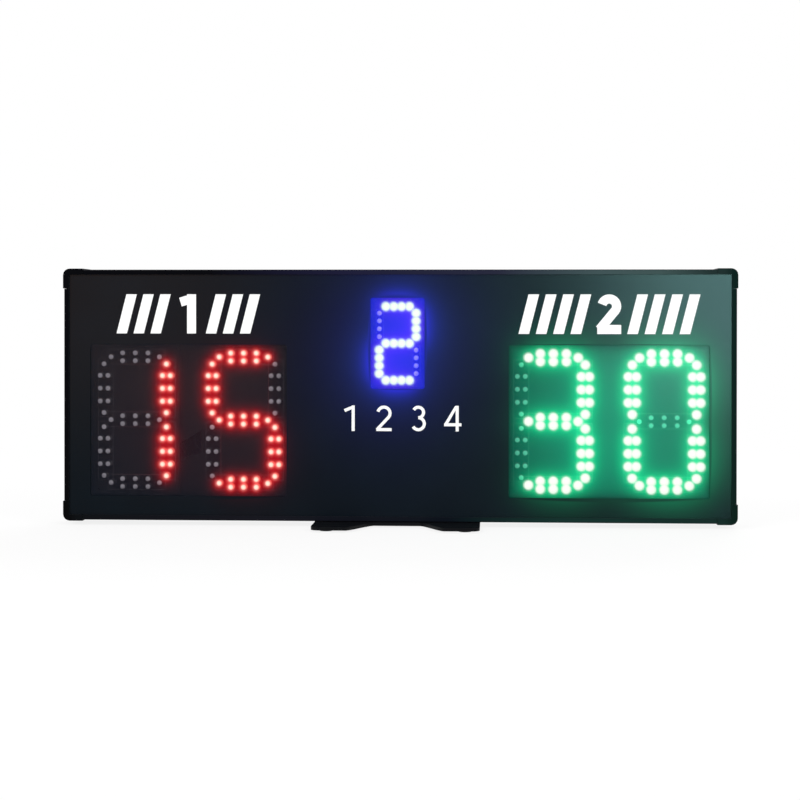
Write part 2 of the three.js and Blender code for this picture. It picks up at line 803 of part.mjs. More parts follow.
// Places of the cover's own screws: along the long rails, then in the middle of each short one.
function coverScrewPlaces() {
  const level = railHalfHeight - ledgeHoleReach;
  const side = railHalfWidth - ledgeHoleReach;
  const long = coverScrewX.flatMap((x) => [[x, level], [x, -level]]);
  const short = coverScrewZ.flatMap((z) => [[-side, z], [side, z]]);
  return [...long, ...short];
}

function leafScrewPlaces() {
  return leafScrewX.map((x) => [x, ledgeHoleReach - railHalfHeight]);
}

function rearCover() {
  const from = coverFront - overrun;
  const to = housingDepth + overrun;
  const keyholes = [-1, 1].map((side) =>
    keyhole(from, to).translate([side * keyholeSpacing / 2, 0, keyholeZ]));
  const slot = block(-soundSlotWidth / 2, soundSlotWidth / 2, from, to,
    -soundSlotLength / 2, soundSlotLength / 2);
  const slots = [-1, 0, 1].map((step) => slot.translate([scoreX + step * soundSlotPitch, 0, sounderZ]));
  const switchX0 = switchX - switchWidth / 2 - fit;
  const switchZ0 = switchZ - switchHeight / 2 - fit;
  const switchHole = block(switchX0, switchX0 + switchWidth + 2 * fit, from, to,
    switchZ0, switchZ0 + switchHeight + 2 * fit);
  const inletHole = rod(inletRadius + fit, from, to, roundSides).translate([inletX, 0, switchZ]);
  const screwHole = rod(screwRadius + fit, from, to, screwSides);
  const screwPlaces = [...coverScrewPlaces(), ...leafScrewPlaces()];
  const screwHoles = screwPlaces.map(([x, z]) => screwHole.translate([x, 0, z]));
  const plate = prismY(sheetOutline(), coverFront, housingDepth, sheetSteps);
  const openings = [...keyholes, ...slots, switchHole, inletHole, ...screwHoles];
  return mesh('rear_cover', cut(plate, openings), blackSteel());
}

// A pan head screw along Y, with its head's seat at the given depth.
function panScrew(seat) {
  const tip = seat - screwLength;
  const top = seat + screwHeadHeight;
  const profile = [[0, tip], [screwRadius, tip], [screwRadius, seat], [screwHeadRadius, seat],
    [screwHeadRadius - screwRadius / 2, top], [0, top]];
  return solidFrom(turned(profile, screwSides));
}

function screws() {
  const group = new THREE.Group();
  const rows = [
    { name: 'cover_screw', places: coverScrewPlaces(), seat: housingDepth + fit },
    { name: 'hinge_screw', places: leafScrewPlaces(), seat: housingDepth + 2 * fit + leafThickness },
    {
      name: 'clamp_screw',
      places: clampScrewX.map((x) => [x, batteryZ]),
      seat: carrierBack + screwLength + clampThickness + 2 * fit,
    },
  ];
  for (const { name, places, seat } of rows) {
    const shape = panScrew(seat);
    places.forEach(([x, z], i) => {
      const screw = mesh(`${name}_${i + 1}`, shape, zincSteel());
      group.add(placed(screw, x, 0, z));
    });
  }
  return group;
}

// The switch lies about its rocker's axis, which is level with the back of the cover.
function switchBody() {
  const flangeFront = fit;
  const flangeBack = flangeFront + switchFlangeThickness;
  const box = (margin, from, to) => {
    const halfWidth = switchWidth / 2 + margin;
    const halfHeight = switchHeight / 2 + margin;
    return block(-halfWidth, halfWidth, from, to, -halfHeight, halfHeight);
  };
  const shell = box(0, -switchDepth, flangeFront + rootDepth);
  const flange = box(switchFlange, flangeFront, flangeBack);
  const well = box(-switchWall, -rockerRadius - fit, flangeBack + overrun);
  const pinHoles = rod(rockerPinRadius + fit, -switchWidth, switchWidth, screwSides).rotate([0, 0, 90]);
  const blades = [-1, 1].map((side) => {
    const z = side * bladeSpacing / 2;
    return block(-bladeWidth / 2, bladeWidth / 2, -switchDepth - bladeLength, rootDepth - switchDepth,
      z - bladeThickness / 2, z + bladeThickness / 2);
  });
  const body = cut(shell.add(flange), [well, pinHoles]);
  return mesh('switch_body', joined([body, ...blades]), blackPlastic());
}

function switchRocker() {
  const shape = new THREE.Shape();
  shape.absarc(0, 0, rockerRadius, Math.PI / 2, 1.5 * Math.PI);
  shape.lineTo(rockerCrest, -rockerRadius);
  shape.lineTo(rockerDip, 0);
  shape.lineTo(rockerCrest, rockerRadius);
  shape.closePath();
  const half = switchWidth / 2 - switchWall - fit;
  const pin = rod(rockerPinRadius, -half - switchWall, half + switchWall, screwSides).rotate([0, 0, 90]);
  const paddle = prismX(shape, -half, half, curveSteps);
  const piece = mesh('switch_rocker', paddle.add(pin), finish(0x202022, 0.35, 0));
  piece.rotation.x = THREE.MathUtils.degToRad(-rockerTilt);
  return piece;
}

function powerSwitch() {
  const group = new THREE.Group();
  group.add(switchBody(), switchRocker());
  return placed(group, switchX, housingDepth, switchZ);
}

function powerInlet() {
  const group = new THREE.Group();
  const seat = fit;
  const face = seat + inletFlange;
  const inner = face - inletLength;
  const boreEnd = face - inletBoreDepth;
  const pinEnd = face - inletPinSink;
  const profile = [[0, inner], [inletRadius, inner], [inletRadius, seat], [inletFlangeRadius, seat],
    [inletFlangeRadius, face], [inletBoreRadius, face], [inletBoreRadius, boreEnd],
    [inletPinRadius, boreEnd], [inletPinRadius, pinEnd], [0, pinEnd]];
  const body = solidFrom(turned(profile, roundSides / 2));
  const nutBack = -coverThickness - fit;
  const nutFront = nutBack - inletNutThickness;
  const nut = rod(inletNutRadius, nutFront, nutBack, postSides);
  const thread = rod(inletRadius + fit, nutFront - overrun, nutBack + overrun, roundSides);
  group.add(mesh('power_inlet', body, blackPlastic()));
  group.add(mesh('inlet_nut', nut.subtract(thread), zincSteel()));
  return placed(group, inletX, housingDepth, switchZ);
}

// Insulated leads between the electronics, each along a smooth curve through a few chosen points.
function lead(name, color, points) {
  const path = new THREE.CatmullRomCurve3(points.map((point) => new THREE.Vector3(...point)));
  const section = new THREE.Shape();
  section.absarc(0, 0, leadRadius, 0, 2 * Math.PI);
  const curveSegments = leadSides / 2;
  const settings = { steps: leadSteps, extrudePath: path, bevelEnabled: false, curveSegments };
  return mesh(name, solidFrom(new THREE.ExtrudeGeometry(section, settings)), finish(color, 0.5, 0));
}

function leads() {
  const group = new THREE.Group();
  const middle = (carrierBack + coverFront) / 2;
  const bladeEnd = housingDepth - switchDepth - bladeLength / 2;
  const inletEnd = housingDepth + fit + inletFlange - inletLength - fit;
  const low = switchZ - switchHeight;
  const boardEdge = controlWidth / 2 + fit;
  const batteryEdge = batteryWidth / 2 - scoreX;
  const step = bladeSpacing;
  group.add(
    lead('inlet_lead', 0x242424, [
      [inletX, inletEnd - leadRadius, switchZ],
      [inletX, bladeEnd, switchZ - step],
      [inletX - inletSpacing / 2, bladeEnd, low + step / 2],
      [switchX, bladeEnd, switchZ - bladeSpacing / 2 - bladeThickness / 2 - fit - leadRadius],
    ]),
    lead('switch_lead', 0x8c1f1f, [
      [switchX, bladeEnd, switchZ + bladeSpacing / 2 + bladeThickness / 2 + fit + leadRadius],
      [switchX - step, bladeEnd, switchZ + switchHeight],
      [scoreX, middle, switchZ + switchHeight],
      [(scoreX + boardEdge) / 2, middle, controlZ],
      [boardEdge, controlBack + leadRadius, controlZ],
    ]),
    lead('battery_lead', 0x8c1f1f, [
      [batteryEdge + leadRadius, carrierBack + batteryDepth / 2, batteryZ + batteryHeight / 4],
      [batteryEdge + clampFoot, middle, batteryZ + batteryHeight / 2],
      [-controlWidth / 2, middle, batteryZ],
      [-plugWidth * 2, middle, scoreZ + plugHeight + step],
      [-plugWidth * 1.5, controlBack + leadRadius, scoreZ + controlDrop + fit],
    ]),
    lead('sounder_lead', 0x242424, [
      [scoreX - sounderRadius - fit - leadRadius, coverFront - sounderDepth, sounderZ + sounderEarWidth],
      [scoreX - 2 * sounderRadius, middle, sounderZ],
      [controlWidth / 2, middle, batteryZ],
      [plugWidth * 2, middle, scoreZ + plugHeight + step],
      [plugWidth * 1.5, controlBack + leadRadius, scoreZ + controlDrop + fit],
    ]),
  );
  return group;
}

// Hinge and foot, about the hinge's axis

const outerKnuckle = hingeLength / 2;
const gapFrom = knucklePlace - knuckleLength / 2;
const gapTo = knucklePlace + knuckleLength / 2;

function barrel(from, to) {
  return rod(knuckleRadius, from, to, roundSides).rotate([0, 0, -90]);
}

function pinBore() {
  return rod(hingePinRadius + fit, -hingeLength, hingeLength, roundSides).rotate([0, 0, -90]);
}

// A leaf on the back of the housing, with two arms that end in knuckles round the pin.
function hingeBracket() {
  const back = leafThickness + fit - hingeStandoff;
  const floor = housingZ - railHalfHeight - hingeZ;
  const leaf = block(-outerKnuckle, outerKnuckle, fit - hingeStandoff, back, floor, floor + leafHeight);
  const hole = rod(screwRadius + fit, -hingeStandoff, 0, screwSides);
  const holes = leafScrewX.map((x) => hole.translate([x, 0, floor + ledgeHoleReach]));
  const arms = [-1, 1].map((side) => {
    const x = side * knucklePlace;
    return block(x - knuckleLength / 2, x + knuckleLength / 2, back - rootDepth, 0, floor, knuckleRadius)
      .add(barrel(x - knuckleLength / 2, x + knuckleLength / 2));
  });
  return mesh('hinge_bracket', cut(joined([cut(leaf, holes), ...arms]), [pinBore()]), blackSteel());
}

function hingePin() {
  const seat = outerKnuckle + fit;
  const end = seat + hingePinHead;
  const profile = [[0, -end], [hingePinHeadRadius, -end], [hingePinHeadRadius, -seat],
    [hingePinRadius, -seat], [hingePinRadius, seat], [hingePinHeadRadius, seat],
    [hingePinHeadRadius, end], [0, end]];
  return mesh('hinge_pin', solidFrom(turned(profile, roundSides)).rotate([0, 0, -90]), zincSteel());
}

// The plate's outline: two prongs with rounded ends that reach past the front of the housing, and a
// notch between them.
function footOutline() {
  const half = footWidth / 2;
  const tip = -footDepth;
  const root = tip + prongReach - notchReach;
  const easeIn = notchHalfWidth + notchEase;
  const easeOut = prongInner - notchEase;
  const shape = new THREE.Shape();
  shape.moveTo(notchHalfWidth, root);
  shape.bezierCurveTo(easeIn, root, easeOut, tip, prongInner, tip);
  shape.lineTo(half - prongRadius, tip);
  shape.absarc(half - prongRadius, tip + prongRadius, prongRadius, 1.5 * Math.PI, 2 * Math.PI);
  shape.lineTo(half, -prongRadius);
  shape.absarc(half - prongRadius, -prongRadius, prongRadius, 0, Math.PI / 2);
  shape.lineTo(prongRadius - half, 0);
  shape.absarc(prongRadius - half, -prongRadius, prongRadius, Math.PI / 2, Math.PI);
  shape.lineTo(-half, tip + prongRadius);
  shape.absarc(prongRadius - half, tip + prongRadius, prongRadius, Math.PI, 1.5 * Math.PI);
  shape.lineTo(-prongInner, tip);
  shape.bezierCurveTo(-easeOut, tip, -easeIn, root, -notchHalfWidth, root);
  shape.closePath();
  return shape;
}

function footPlate() {
  const bottom = -knuckleRadius;
  const plate = prismZ(footOutline(), bottom, bottom + footThickness, curveSteps);
  const barrels = [
    barrel(-outerKnuckle, -gapTo - fit),
    barrel(fit - gapFrom, gapFrom - fit),
    barrel(gapTo + fit, outerKnuckle),
  ];
  const clear = knuckleRadius + 2 * fit;
  const notch = (from, to) => block(from, to, -clear, clear, bottom - overrun, knuckleRadius);
  const pinEnd = outerKnuckle + 2 * fit + hingePinHead;
  const notches = [
    notch(-pinEnd, -outerKnuckle),
    notch(-gapTo - fit, fit - gapFrom),
    notch(gapFrom - fit, gapTo + fit),
    notch(outerKnuckle, pinEnd),
  ];
  const body = cut(joined([plate, ...barrels]), [...notches, pinBore()]);
  return mesh('foot_plate', body, blackSteel());
}

function footPads() {
  const side = footWidth / 2 - padInset;
  const rows = [
    { name: 'front_left_pad', x: -side, y: padInset - footDepth },
    { name: 'front_right_pad', x: side, y: padInset - footDepth },
    { name: 'rear_left_pad', x: -side, y: -padInset },
    { name: 'rear_right_pad', x: side, y: -padInset },
  ];
  const disc = rod(padRadius, 0, padThickness, roundSides).rotate([90, 0, 0]);
  return rows.map(({ name, x, y }) => placed(mesh(name, disc, darkRubber()), x, y, -hingeZ));
}

function hingeAndFoot() {
  const group = new THREE.Group();
  group.add(hingeBracket(), hingePin(), footPlate(), ...footPads());
  return placed(group, 0, hingeY, hingeZ);
}

// The whole

const housing = new THREE.Group();
housing.position.set(0, housingY, housingZ);
housing.add(
  frame(),
  frontPanel(),
  windowLenses(),
  ledFigures(),
  displayCarrier(),
  controlBoard(),
  receiverModule(),
  ribbonCables(),
  batteryPack(),
  batteryClamp(),
  sounder(),
  rearCover(),
  screws(),
  powerSwitch(),
  powerInlet(),
  leads(),
);

const scoreboard = new THREE.Group();
scoreboard.add(housing, hingeAndFoot());

export default scoreboard;
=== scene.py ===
# The looks of an electronic scoreboard: figures, smoked windows, printed marks, finishes and a pale studio.
# Lengths are in metres. X runs to the right as seen from the front, Y from the front to the back, Z up.
import json
import math
from itertools import product

import bmesh
import bpy
import numpy as np
from mathutils import Matrix, Vector
from mathutils.geometry import delaunay_2d_cdt


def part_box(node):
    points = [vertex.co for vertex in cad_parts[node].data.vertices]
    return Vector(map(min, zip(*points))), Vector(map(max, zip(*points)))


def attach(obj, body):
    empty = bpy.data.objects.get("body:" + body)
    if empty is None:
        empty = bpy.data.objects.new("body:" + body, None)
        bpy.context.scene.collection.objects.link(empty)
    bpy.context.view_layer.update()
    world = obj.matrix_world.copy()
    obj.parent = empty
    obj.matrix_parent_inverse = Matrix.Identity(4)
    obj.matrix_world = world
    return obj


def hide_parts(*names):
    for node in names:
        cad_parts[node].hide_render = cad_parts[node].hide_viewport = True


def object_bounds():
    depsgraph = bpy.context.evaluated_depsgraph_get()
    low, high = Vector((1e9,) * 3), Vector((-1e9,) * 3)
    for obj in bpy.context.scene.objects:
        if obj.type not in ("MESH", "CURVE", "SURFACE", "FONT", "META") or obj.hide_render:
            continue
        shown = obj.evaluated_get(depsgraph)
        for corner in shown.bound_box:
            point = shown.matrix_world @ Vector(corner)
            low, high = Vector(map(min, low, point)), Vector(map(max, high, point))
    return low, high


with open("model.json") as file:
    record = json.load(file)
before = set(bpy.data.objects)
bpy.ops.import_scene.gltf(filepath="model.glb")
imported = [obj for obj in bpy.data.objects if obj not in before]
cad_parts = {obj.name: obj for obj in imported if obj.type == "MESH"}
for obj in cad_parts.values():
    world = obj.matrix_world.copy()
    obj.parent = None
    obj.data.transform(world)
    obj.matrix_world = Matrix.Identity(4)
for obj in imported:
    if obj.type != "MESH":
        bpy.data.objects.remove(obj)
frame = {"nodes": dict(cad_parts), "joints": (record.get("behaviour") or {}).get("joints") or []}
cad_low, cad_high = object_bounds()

MM = 0.001
NODES = frame["nodes"]
MATERIALS = {}
SHADER = "Principled BSDF"

# LED figures: the length of a stroke, and where its LEDs lie along and across it.
SCORE_STROKE = 57.3 * MM
SCORE_LED_PITCH = 11.65 * MM
SCORE_LED_PAIR = 7.1 * MM
SCORE_LED_END = 22.2 * MM
MIDDLE_STROKE = 33.3 * MM
MIDDLE_LED_PITCH = 7.1 * MM
MIDDLE_LED_SHARES = (-1.5, -0.5, 0.5, 1.5)

# One LED: its lens, the flange at its foot and the bright cup that shows through its tip.
LED_RADIUS = 2.5 * MM
LED_FLANGE = 2.9 * MM
LED_FLANGE_HEIGHT = 1.0 * MM
LED_HEIGHT = 8.4 * MM
LED_SIDES = 20
DOME_RINGS = 6
CUP_RINGS = 4

# Figure boards, the lines printed round their strokes and the plugs behind them.
BOARD_THICKNESS = 1.6 * MM
LINE_WIDTH = 0.35 * MM
LINE_HEIGHT = 0.06 * MM
# Share of that height by which a line is clear of its board.
LINE_LIFT_SHARE = 0.25
LINE_REACH = 3.3 * MM
LINE_END = 26.5 * MM
MIDDLE_LINE_END = 14.0 * MM
PLUG_WIDTH = 14 * MM
PLUG_HEIGHT = 20 * MM

# Windows and the front panel.
WINDOW_RADIUS = 2 * MM
WINDOW_FLANGE = 4 * MM
WINDOW_FLANGE_THICKNESS = 1.5 * MM
PANEL_RADIUS = 3 * MM
FIT = 0.3 * MM
EDGE_CHAMFER = 0.25 * MM
GLOW_PITCH = 1.1 * MM
PANEL_PITCH = 3 * MM
MERGE_WITHIN = 1e-7

# Printed marks on the panel.
MARK_HEIGHT = 35.5 * MM
MARK_TOP = 209.5 * MM
MARK_THICKNESS = 0.12 * MM
MARK_WEIGHT_SHARE = 0.23
MARK_GAP = 16 * MM
BAR_WIDTH = 9.5 * MM
BAR_PITCH = 15.5 * MM
BAR_SLANT = 9 * MM
LOW_MARK_HEIGHT = 23 * MM
LOW_MARK_WEIGHT_SHARE = 0.12
LOW_MARK_TOP = 109.3 * MM
LOW_MARK_PITCH = 31 * MM
LOW_MARK_X = 3.4 * MM

# Camera, fitted to the photograph's frame of 800 pixels.
CAMERA_PLACE = Vector((85.4, -1607.0, 188.0)) * MM
CAMERA_PAN = math.radians(-2.969)
CAMERA_TILT = math.radians(-0.360)
CAMERA_ROLL = math.radians(0.052)
CAMERA_DROP_PIXELS = 70.6
CAMERA_REACH = 50.0
FOCAL_PIXELS = 1782.2
FRAME_PIXELS = 800
SENSOR = 36.0

# Studio: lamps as (place, width, height, power), and cards as (reach in X, reach in Z, light).
LAMP_TARGET = Vector((0.0, 0.0, 0.11))
LAMPS = {
    "key": ((-1.5, -1.9, 1.7), 1.2, 1.2, 34.0),
    "fill": ((1.6, -1.5, 1.3), 1.2, 1.2, 20.0),
    "rear": ((0.6, 2.0, 1.6), 1.4, 1.2, 30.0),
}
SHEEN_CARDS = {
    "right_card": ((0.36, 1.5), (0.05, 1.2), (30.0, 62.0, 58.0)),
    "left_card": ((-1.3, -0.40), (0.0, 0.6), (4.6, 2.6, 1.8)),
}
CARD_Y = -2.0
WHITE = (1.0, 1.0, 1.0)
WORLD_LEVEL = 0.62
FLOOR_HALF = 6.0
FLOOR_COLOR = (0.88, 0.88, 0.88)
FLOOR_CLEAR_FROM = 0.55
FLOOR_CLEAR_TO = 1.1
FLOOR_WHITE_SHARE = 0.85

# Strokes of a figure as (X and Z in stroke lengths, whether it lies level): top, upper right, lower right,
# bottom, lower left, upper left, middle. Each digit has 1 for the ones that are lit.
STROKE_SHARES = [
    (0.0, 1.0, True),
    (0.5, 0.5, False),
    (0.5, -0.5, False),
    (0.0, -1.0, True),
    (-0.5, -0.5, False),
    (-0.5, 0.5, False),
    (0.0, 0.0, True),
]
DIGIT_STROKES = {0: "1111110", 1: "0110000", 2: "1101101", 3: "1111001", 5: "1011011"}
FIGURES = {
    "left_tens_figure": (1, "red"),
    "left_units_figure": (5, "red"),
    "right_tens_figure": (3, "green"),
    "right_units_figure": (0, "green"),
    "middle_figure": (2, "blue"),
}
WINDOWS = {
    "left_window": ("red", ["left_tens_figure", "left_units_figure"]),
    "right_window": ("green", ["right_tens_figure", "right_units_figure"]),
    "middle_window": ("blue", ["middle_figure"]),
}

# Light round each lit LED, as (colour, form, reach): a bell for a soft core and a tail for a halo.
HALOS = {
    "red": [
        ((0.0, 0.60, 0.52), "bell", 2.2 * MM),
        ((0.60, 0.0, 0.0), "bell", 3.4 * MM),
        ((0.11, -0.004, -0.002), "bell", 6.0 * MM),
        ((0.50, 0.0, 0.0), "tail", 3.0 * MM),
    ],
    "green": [
        ((0.98, 0.15, 0.92), "bell", 2.9 * MM),
        ((0.0, 0.80, 0.26), "tail", 4.0 * MM),
    ],
    "blue": [
        ((0.0, 0.75, 0.0), "bell", 2.2 * MM),
        ((1.02, 1.15, 0.05), "bell", 2.9 * MM),
        ((0.08, 0.0, 0.20), "tail", 4.0 * MM),
        ((0.0, 0.0, 0.057), "tail", 8.0 * MM),
    ],
}
# Even light over each lit LED, as (colour, radius), where it is too bright for its halo to show.
CORES = {"green": ((0.92, 1.0, 0.87), 4.1 * MM), "blue": ((0.83, 1.0, 0.86), 3.85 * MM)}
CORE_EDGE = 1.4 * MM
# Light that fills a window: even all over, and a wide tail from each LED, weaker at the window's edge.
WINDOW_FILL = {
    "red": ((0.003, 0.0065, 0.011), (0.00055, 0.0, 0.0)),
    "green": ((0.0, 0.012, 0.012), (0.0, 0.0090, 0.0047)),
    "blue": ((0.007, 0.018, 0.45), (0.0010, 0.0010, 0.030)),
}
FILL_REACH = 45 * MM
FILL_EDGE = 4 * MM
FILL_EDGE_SHARE = 0.3
# Share of the light at its place that an unlit LED's cup and a printed line send back.
CUP_GLOW_SHARE = 1.15
LINE_GLOW_SHARE = 0.35
# Light that each lit LED spills on the panel, as (colour, form, reach).
PANEL_SPILL = {
    "red": [((0.12, 0.0, 0.0), "tail", 3 * MM), ((0.0030, 0.0, 0.0), "tail", 12 * MM)],
    "green": [((0.0, 0.0808, 0.0300), "tail", 10 * MM)],
    "blue": [
        ((0.04, 0.0, 1.32), "tail", 3 * MM),
        ((0.018, 0.0, 0.80), "tail", 5 * MM),
        ((0.0, 0.0085, 0.03), "tail", 14 * MM),
        ((0.00125, 0.0, 0.0112), "tail", 30 * MM),
    ],
}
# How much more of that light there is at the right and upper edges of a colour's window than at its middle.
SPILL_LEAN = {"red": (0.0, 0.0), "green": (0.44, 0.22), "blue": (0.0, 0.0)}
# Light on the frame's front faces, as (X, colour).
FRONT_LIGHT_TOP = [
    (-170 * MM, (0.0, 0.0, 0.001)),
    (-45 * MM, (0.010, 0.010, 0.036)),
    (90 * MM, (0.018, 0.020, 0.042)),
    (180 * MM, (0.050, 0.086, 0.090)),
    (235 * MM, (0.048, 0.086, 0.084)),
    (280 * MM, (0.014, 0.030, 0.028)),
    (292 * MM, (0.012, 0.027, 0.025)),
    (300 * MM, (0.001, 0.013, 0.010)),
]
FRONT_LIGHT_BOTTOM = [
    (-300 * MM, (0.0, 0.0, 0.0)),
    (-292 * MM, (0.002, 0.003, 0.004)),
    (-135 * MM, (0.006, 0.006, 0.010)),
    (45 * MM, (0.002, 0.004, 0.008)),
    (144 * MM, (0.005, 0.028, 0.022)),
    (292 * MM, (0.005, 0.022, 0.018)),
    (300 * MM, (0.001, 0.012, 0.008)),
]
FRONT_LIGHT = (FRONT_LIGHT_BOTTOM, FRONT_LIGHT_TOP)
# Heights of those two, as shares of the whole, and how straight a face looks to the front to have them.
BOTTOM_LIGHT_SHARE = 0.1
TOP_LIGHT_SHARE = 0.9
FRONT_FACING = -0.95
SIDE_FACING = -0.85
# Painted shade on the frame's front: how much lighter the base colour of its other faces is than that of its
# front.
PAINTED_FRONT_SHADE = 9.0

# Moulded, painted, printed and plated finishes. The stretch draws the grain out along an axis.
NOISE_LOW, NOISE_HIGH = 0.3, 0.7
PATCH_GRAINS = 60
WINDOW_FRONT_ALPHA = 0.15
WINDOW_BACK_ALPHA = 0.2
LEAD_FINISH = dict(rough=0.42, grain=0.6 * MM, bump=0.15)
CUP_FINISH = dict(rough=0.35, specular=0.1, grain=0.4 * MM, bump=0.1, mottle=0.1, glow=True)
FINISHES = {
    # The rails' and caps' colours here are those of their front faces, kept darker than their other faces as
    # painted shade.
    "anodised": dict(color=(0.0014, 0.0014, 0.0018), rough=0.34, specular=0.03, grain=0.35 * MM, bump=0.25,
                     stretch=(0.04, 1.0, 0.04)),
    "cap_plastic": dict(color=(0.0014, 0.0014, 0.0016), rough=0.42, specular=0.025, grain=0.45 * MM,
                        bump=0.5),
    "black_plastic": dict(color=(0.018, 0.018, 0.019), rough=0.48, grain=0.4 * MM, bump=0.4),
    "powder_coat": dict(color=(0.008, 0.008, 0.0085), rough=0.50, specular=0.24, grain=0.7 * MM, bump=1.0,
                        depth=0.09 * MM),
    "foot_coat": dict(color=(0.0035, 0.0040, 0.0052), rough=0.42, specular=0.06, bump=0.6, depth=0.03 * MM),
    "rubber": dict(color=(0.022, 0.022, 0.022), rough=0.85, specular=0.25, grain=0.8 * MM, bump=0.8,
                   depth=0.06 * MM, mottle=0.3),
    "zinc": dict(color=(0.62, 0.62, 0.60), rough=0.30, metal=1.0, grain=0.25 * MM, bump=0.2, mottle=0.08,
                 spread=0.08),
    "pin_steel": dict(color=(0.50, 0.50, 0.50), rough=0.28, metal=1.0, grain=0.2 * MM, bump=0.2,
                      stretch=(0.1, 1.0, 1.0)),
    "rocker_plastic": dict(color=(0.02, 0.02, 0.021), rough=0.26, grain=0.4 * MM, bump=0.08, mottle=0.05),
    "white_print": dict(color=(0.88, 0.88, 0.88), rough=0.42, specular=0.3, grain=0.3 * MM, bump=0.15,
                        mottle=0.02),
    "board_mask": dict(color=(0.0045, 0.0040, 0.0045), rough=0.55, specular=0.05, bump=0.2),
    "board_line": dict(color=(0.050, 0.047, 0.050), rough=0.6, specular=0.1, grain=0.3 * MM, bump=0.1,
                       glow=True),
    "lens_body": dict(color=(0.035, 0.035, 0.037), rough=0.22, specular=0.1, grain=0.6 * MM, bump=0.05),
    "solder_mask": dict(color=(0.010, 0.075, 0.035), rough=0.38, grain=1.0 * MM, bump=0.25, mottle=0.3),
    "ribbon_grey": dict(color=(0.30, 0.31, 0.33), rough=0.55, grain=0.6 * MM, bump=0.8, depth=0.2 * MM,
                        stretch=(0.02, 0.02, 1.6)),
    "battery_sleeve": dict(color=(0.012, 0.07, 0.24), rough=0.28, grain=2.0 * MM, mottle=0.1),
    "lead_red": dict(LEAD_FINISH, color=(0.28, 0.015, 0.012)),
    "lead_black": dict(LEAD_FINISH, color=(0.018, 0.018, 0.018)),
    "window_front": dict(color=(0.004, 0.004, 0.006), rough=0.21, specular=0.27, grain=1.4 * MM, bump=0.05,
                         alpha=WINDOW_FRONT_ALPHA),
    # The bright cups in the LED tips are given a different tint in each window.
    "lens_cup_red": dict(CUP_FINISH, color=(0.35, 0.33, 0.36)),
    "lens_cup_green": dict(CUP_FINISH, color=(0.16, 0.38, 0.30)),
    "lens_cup_blue": dict(CUP_FINISH, color=(0.42, 0.36, 0.39)),
}

# Smooth dark sheets, which carry light of their own. A window's back makes up for the smoke in front of it.
SHEETS = {
    "panel": dict(color=(0.0022, 0.0052, 0.0085), rough=0.21, specular=0.04),
    "window_back": dict(color=(0.004, 0.004, 0.006), rough=0.4, specular=0.0, alpha=WINDOW_BACK_ALPHA,
                        gain=1.0 / (WINDOW_BACK_ALPHA * (1.0 - WINDOW_FRONT_ALPHA))),
}
SHEET_PATCH = 70 * MM
SHEET_MOTTLE = 0.15
DUST_SIZE = 1.4 * MM
DUST_ROUGHNESS = (-0.02, 0.03)
RIPPLE_SIZE = 6 * MM
RIPPLE_STRENGTH = 0.05
RIPPLE_DEPTH = 0.05 * MM

# What lit lenses themselves give off, through the window's light in front of them.
LENS_COLOR = (0.05, 0.05, 0.05)
LENS_LIGHT = {
    "lit_red_core": (0.60, 0.50, 0.35),
    "lit_red_edge": (0.40, 0.06, 0.04),
    "lit_green_core": (0.05, 0.06, 0.04),
    "lit_green_edge": (0.05, 0.08, 0.05),
    "lit_blue_core": (0.12, 0.15, 0.05),
    "lit_blue_edge": (0.10, 0.12, 0.05),
}

# Finishes of the frame's own pieces.
RAILS = [f"{side}_rail" for side in ("bottom", "left", "top", "right")]
CAPS = [f"{corner}_cap" for corner in ("bottom_left", "top_left", "top_right", "bottom_right")]
RIBBONS = [f"{side}_ribbon" for side in ("left_inner", "left_outer", "right_inner", "right_outer", "middle")]
PADS = [f"{corner}_pad" for corner in ("front_left", "front_right", "rear_left", "rear_right")]
CAD_FINISHES = {
    "anodised": RAILS,
    "cap_plastic": CAPS,
    "black_plastic": ["sounder", "switch_body", "power_inlet"],
    "board_mask": ["display_carrier"],
    "rocker_plastic": ["switch_rocker"],
    "solder_mask": ["control_board", "receiver_module"],
    "ribbon_grey": RIBBONS,
    "battery_sleeve": ["battery_pack"],
    "zinc": ["battery_clamp", "inlet_nut"],
    "pin_steel": ["hinge_pin"],
    "powder_coat": ["rear_cover"],
    "foot_coat": ["hinge_bracket", "foot_plate"],
    "lead_black": ["inlet_lead", "sounder_lead"],
    "lead_red": ["switch_lead", "battery_lead"],
    "rubber": PADS,
}
# Radius of the edges that the real pieces have, which the solids leave sharp.
EDGE_RADIUS = [
    (0.25 * MM, RAILS + ["switch_body", "power_inlet", "inlet_nut", "hinge_pin", "display_carrier"]),
    (0.45 * MM, CAPS + ["switch_rocker"]),
    (0.2 * MM, ["rear_cover", "battery_clamp", "sounder", "control_board", "receiver_module"]),
    (0.5 * MM, ["hinge_bracket", "foot_plate"]),
    (0.35 * MM, PADS),
    (1.5 * MM, ["battery_pack"]),
]
EDGE_SEGMENTS = 2
BEVEL_FROM = math.radians(40)
SMOOTH_TO = math.radians(32)
FLAT_WITHIN = math.radians(1)
WELD_WITHIN = 0.002 * MM
LARGE_FACE_WEIGHT = 100

# Pan head screws with a cross recess.
SCREW_COUNTS = {"cover": 10, "hinge": 3, "clamp": 2}
SCREW_SIDES = 28
SCREW_HEAD_HEIGHT = 1.8 * MM
SCREW_SHANK_RADIUS = 1.4 * MM
SCREW_TIP_SHARE = 0.7
RECESS_REACH = 1.5 * MM
RECESS_WIDTH = 0.9 * MM
RECESS_DEPTH = 1.1 * MM
RECESS_TAPER_SHARE = 0.6
# The head's side as shares of its radius and of its height above the seat.
HEAD_PROFILE_SHARES = [(1.0, 0.0), (1.0, 0.32), (0.975, 0.55), (0.90, 0.77), (0.79, 0.92), (0.66, 1.0)]

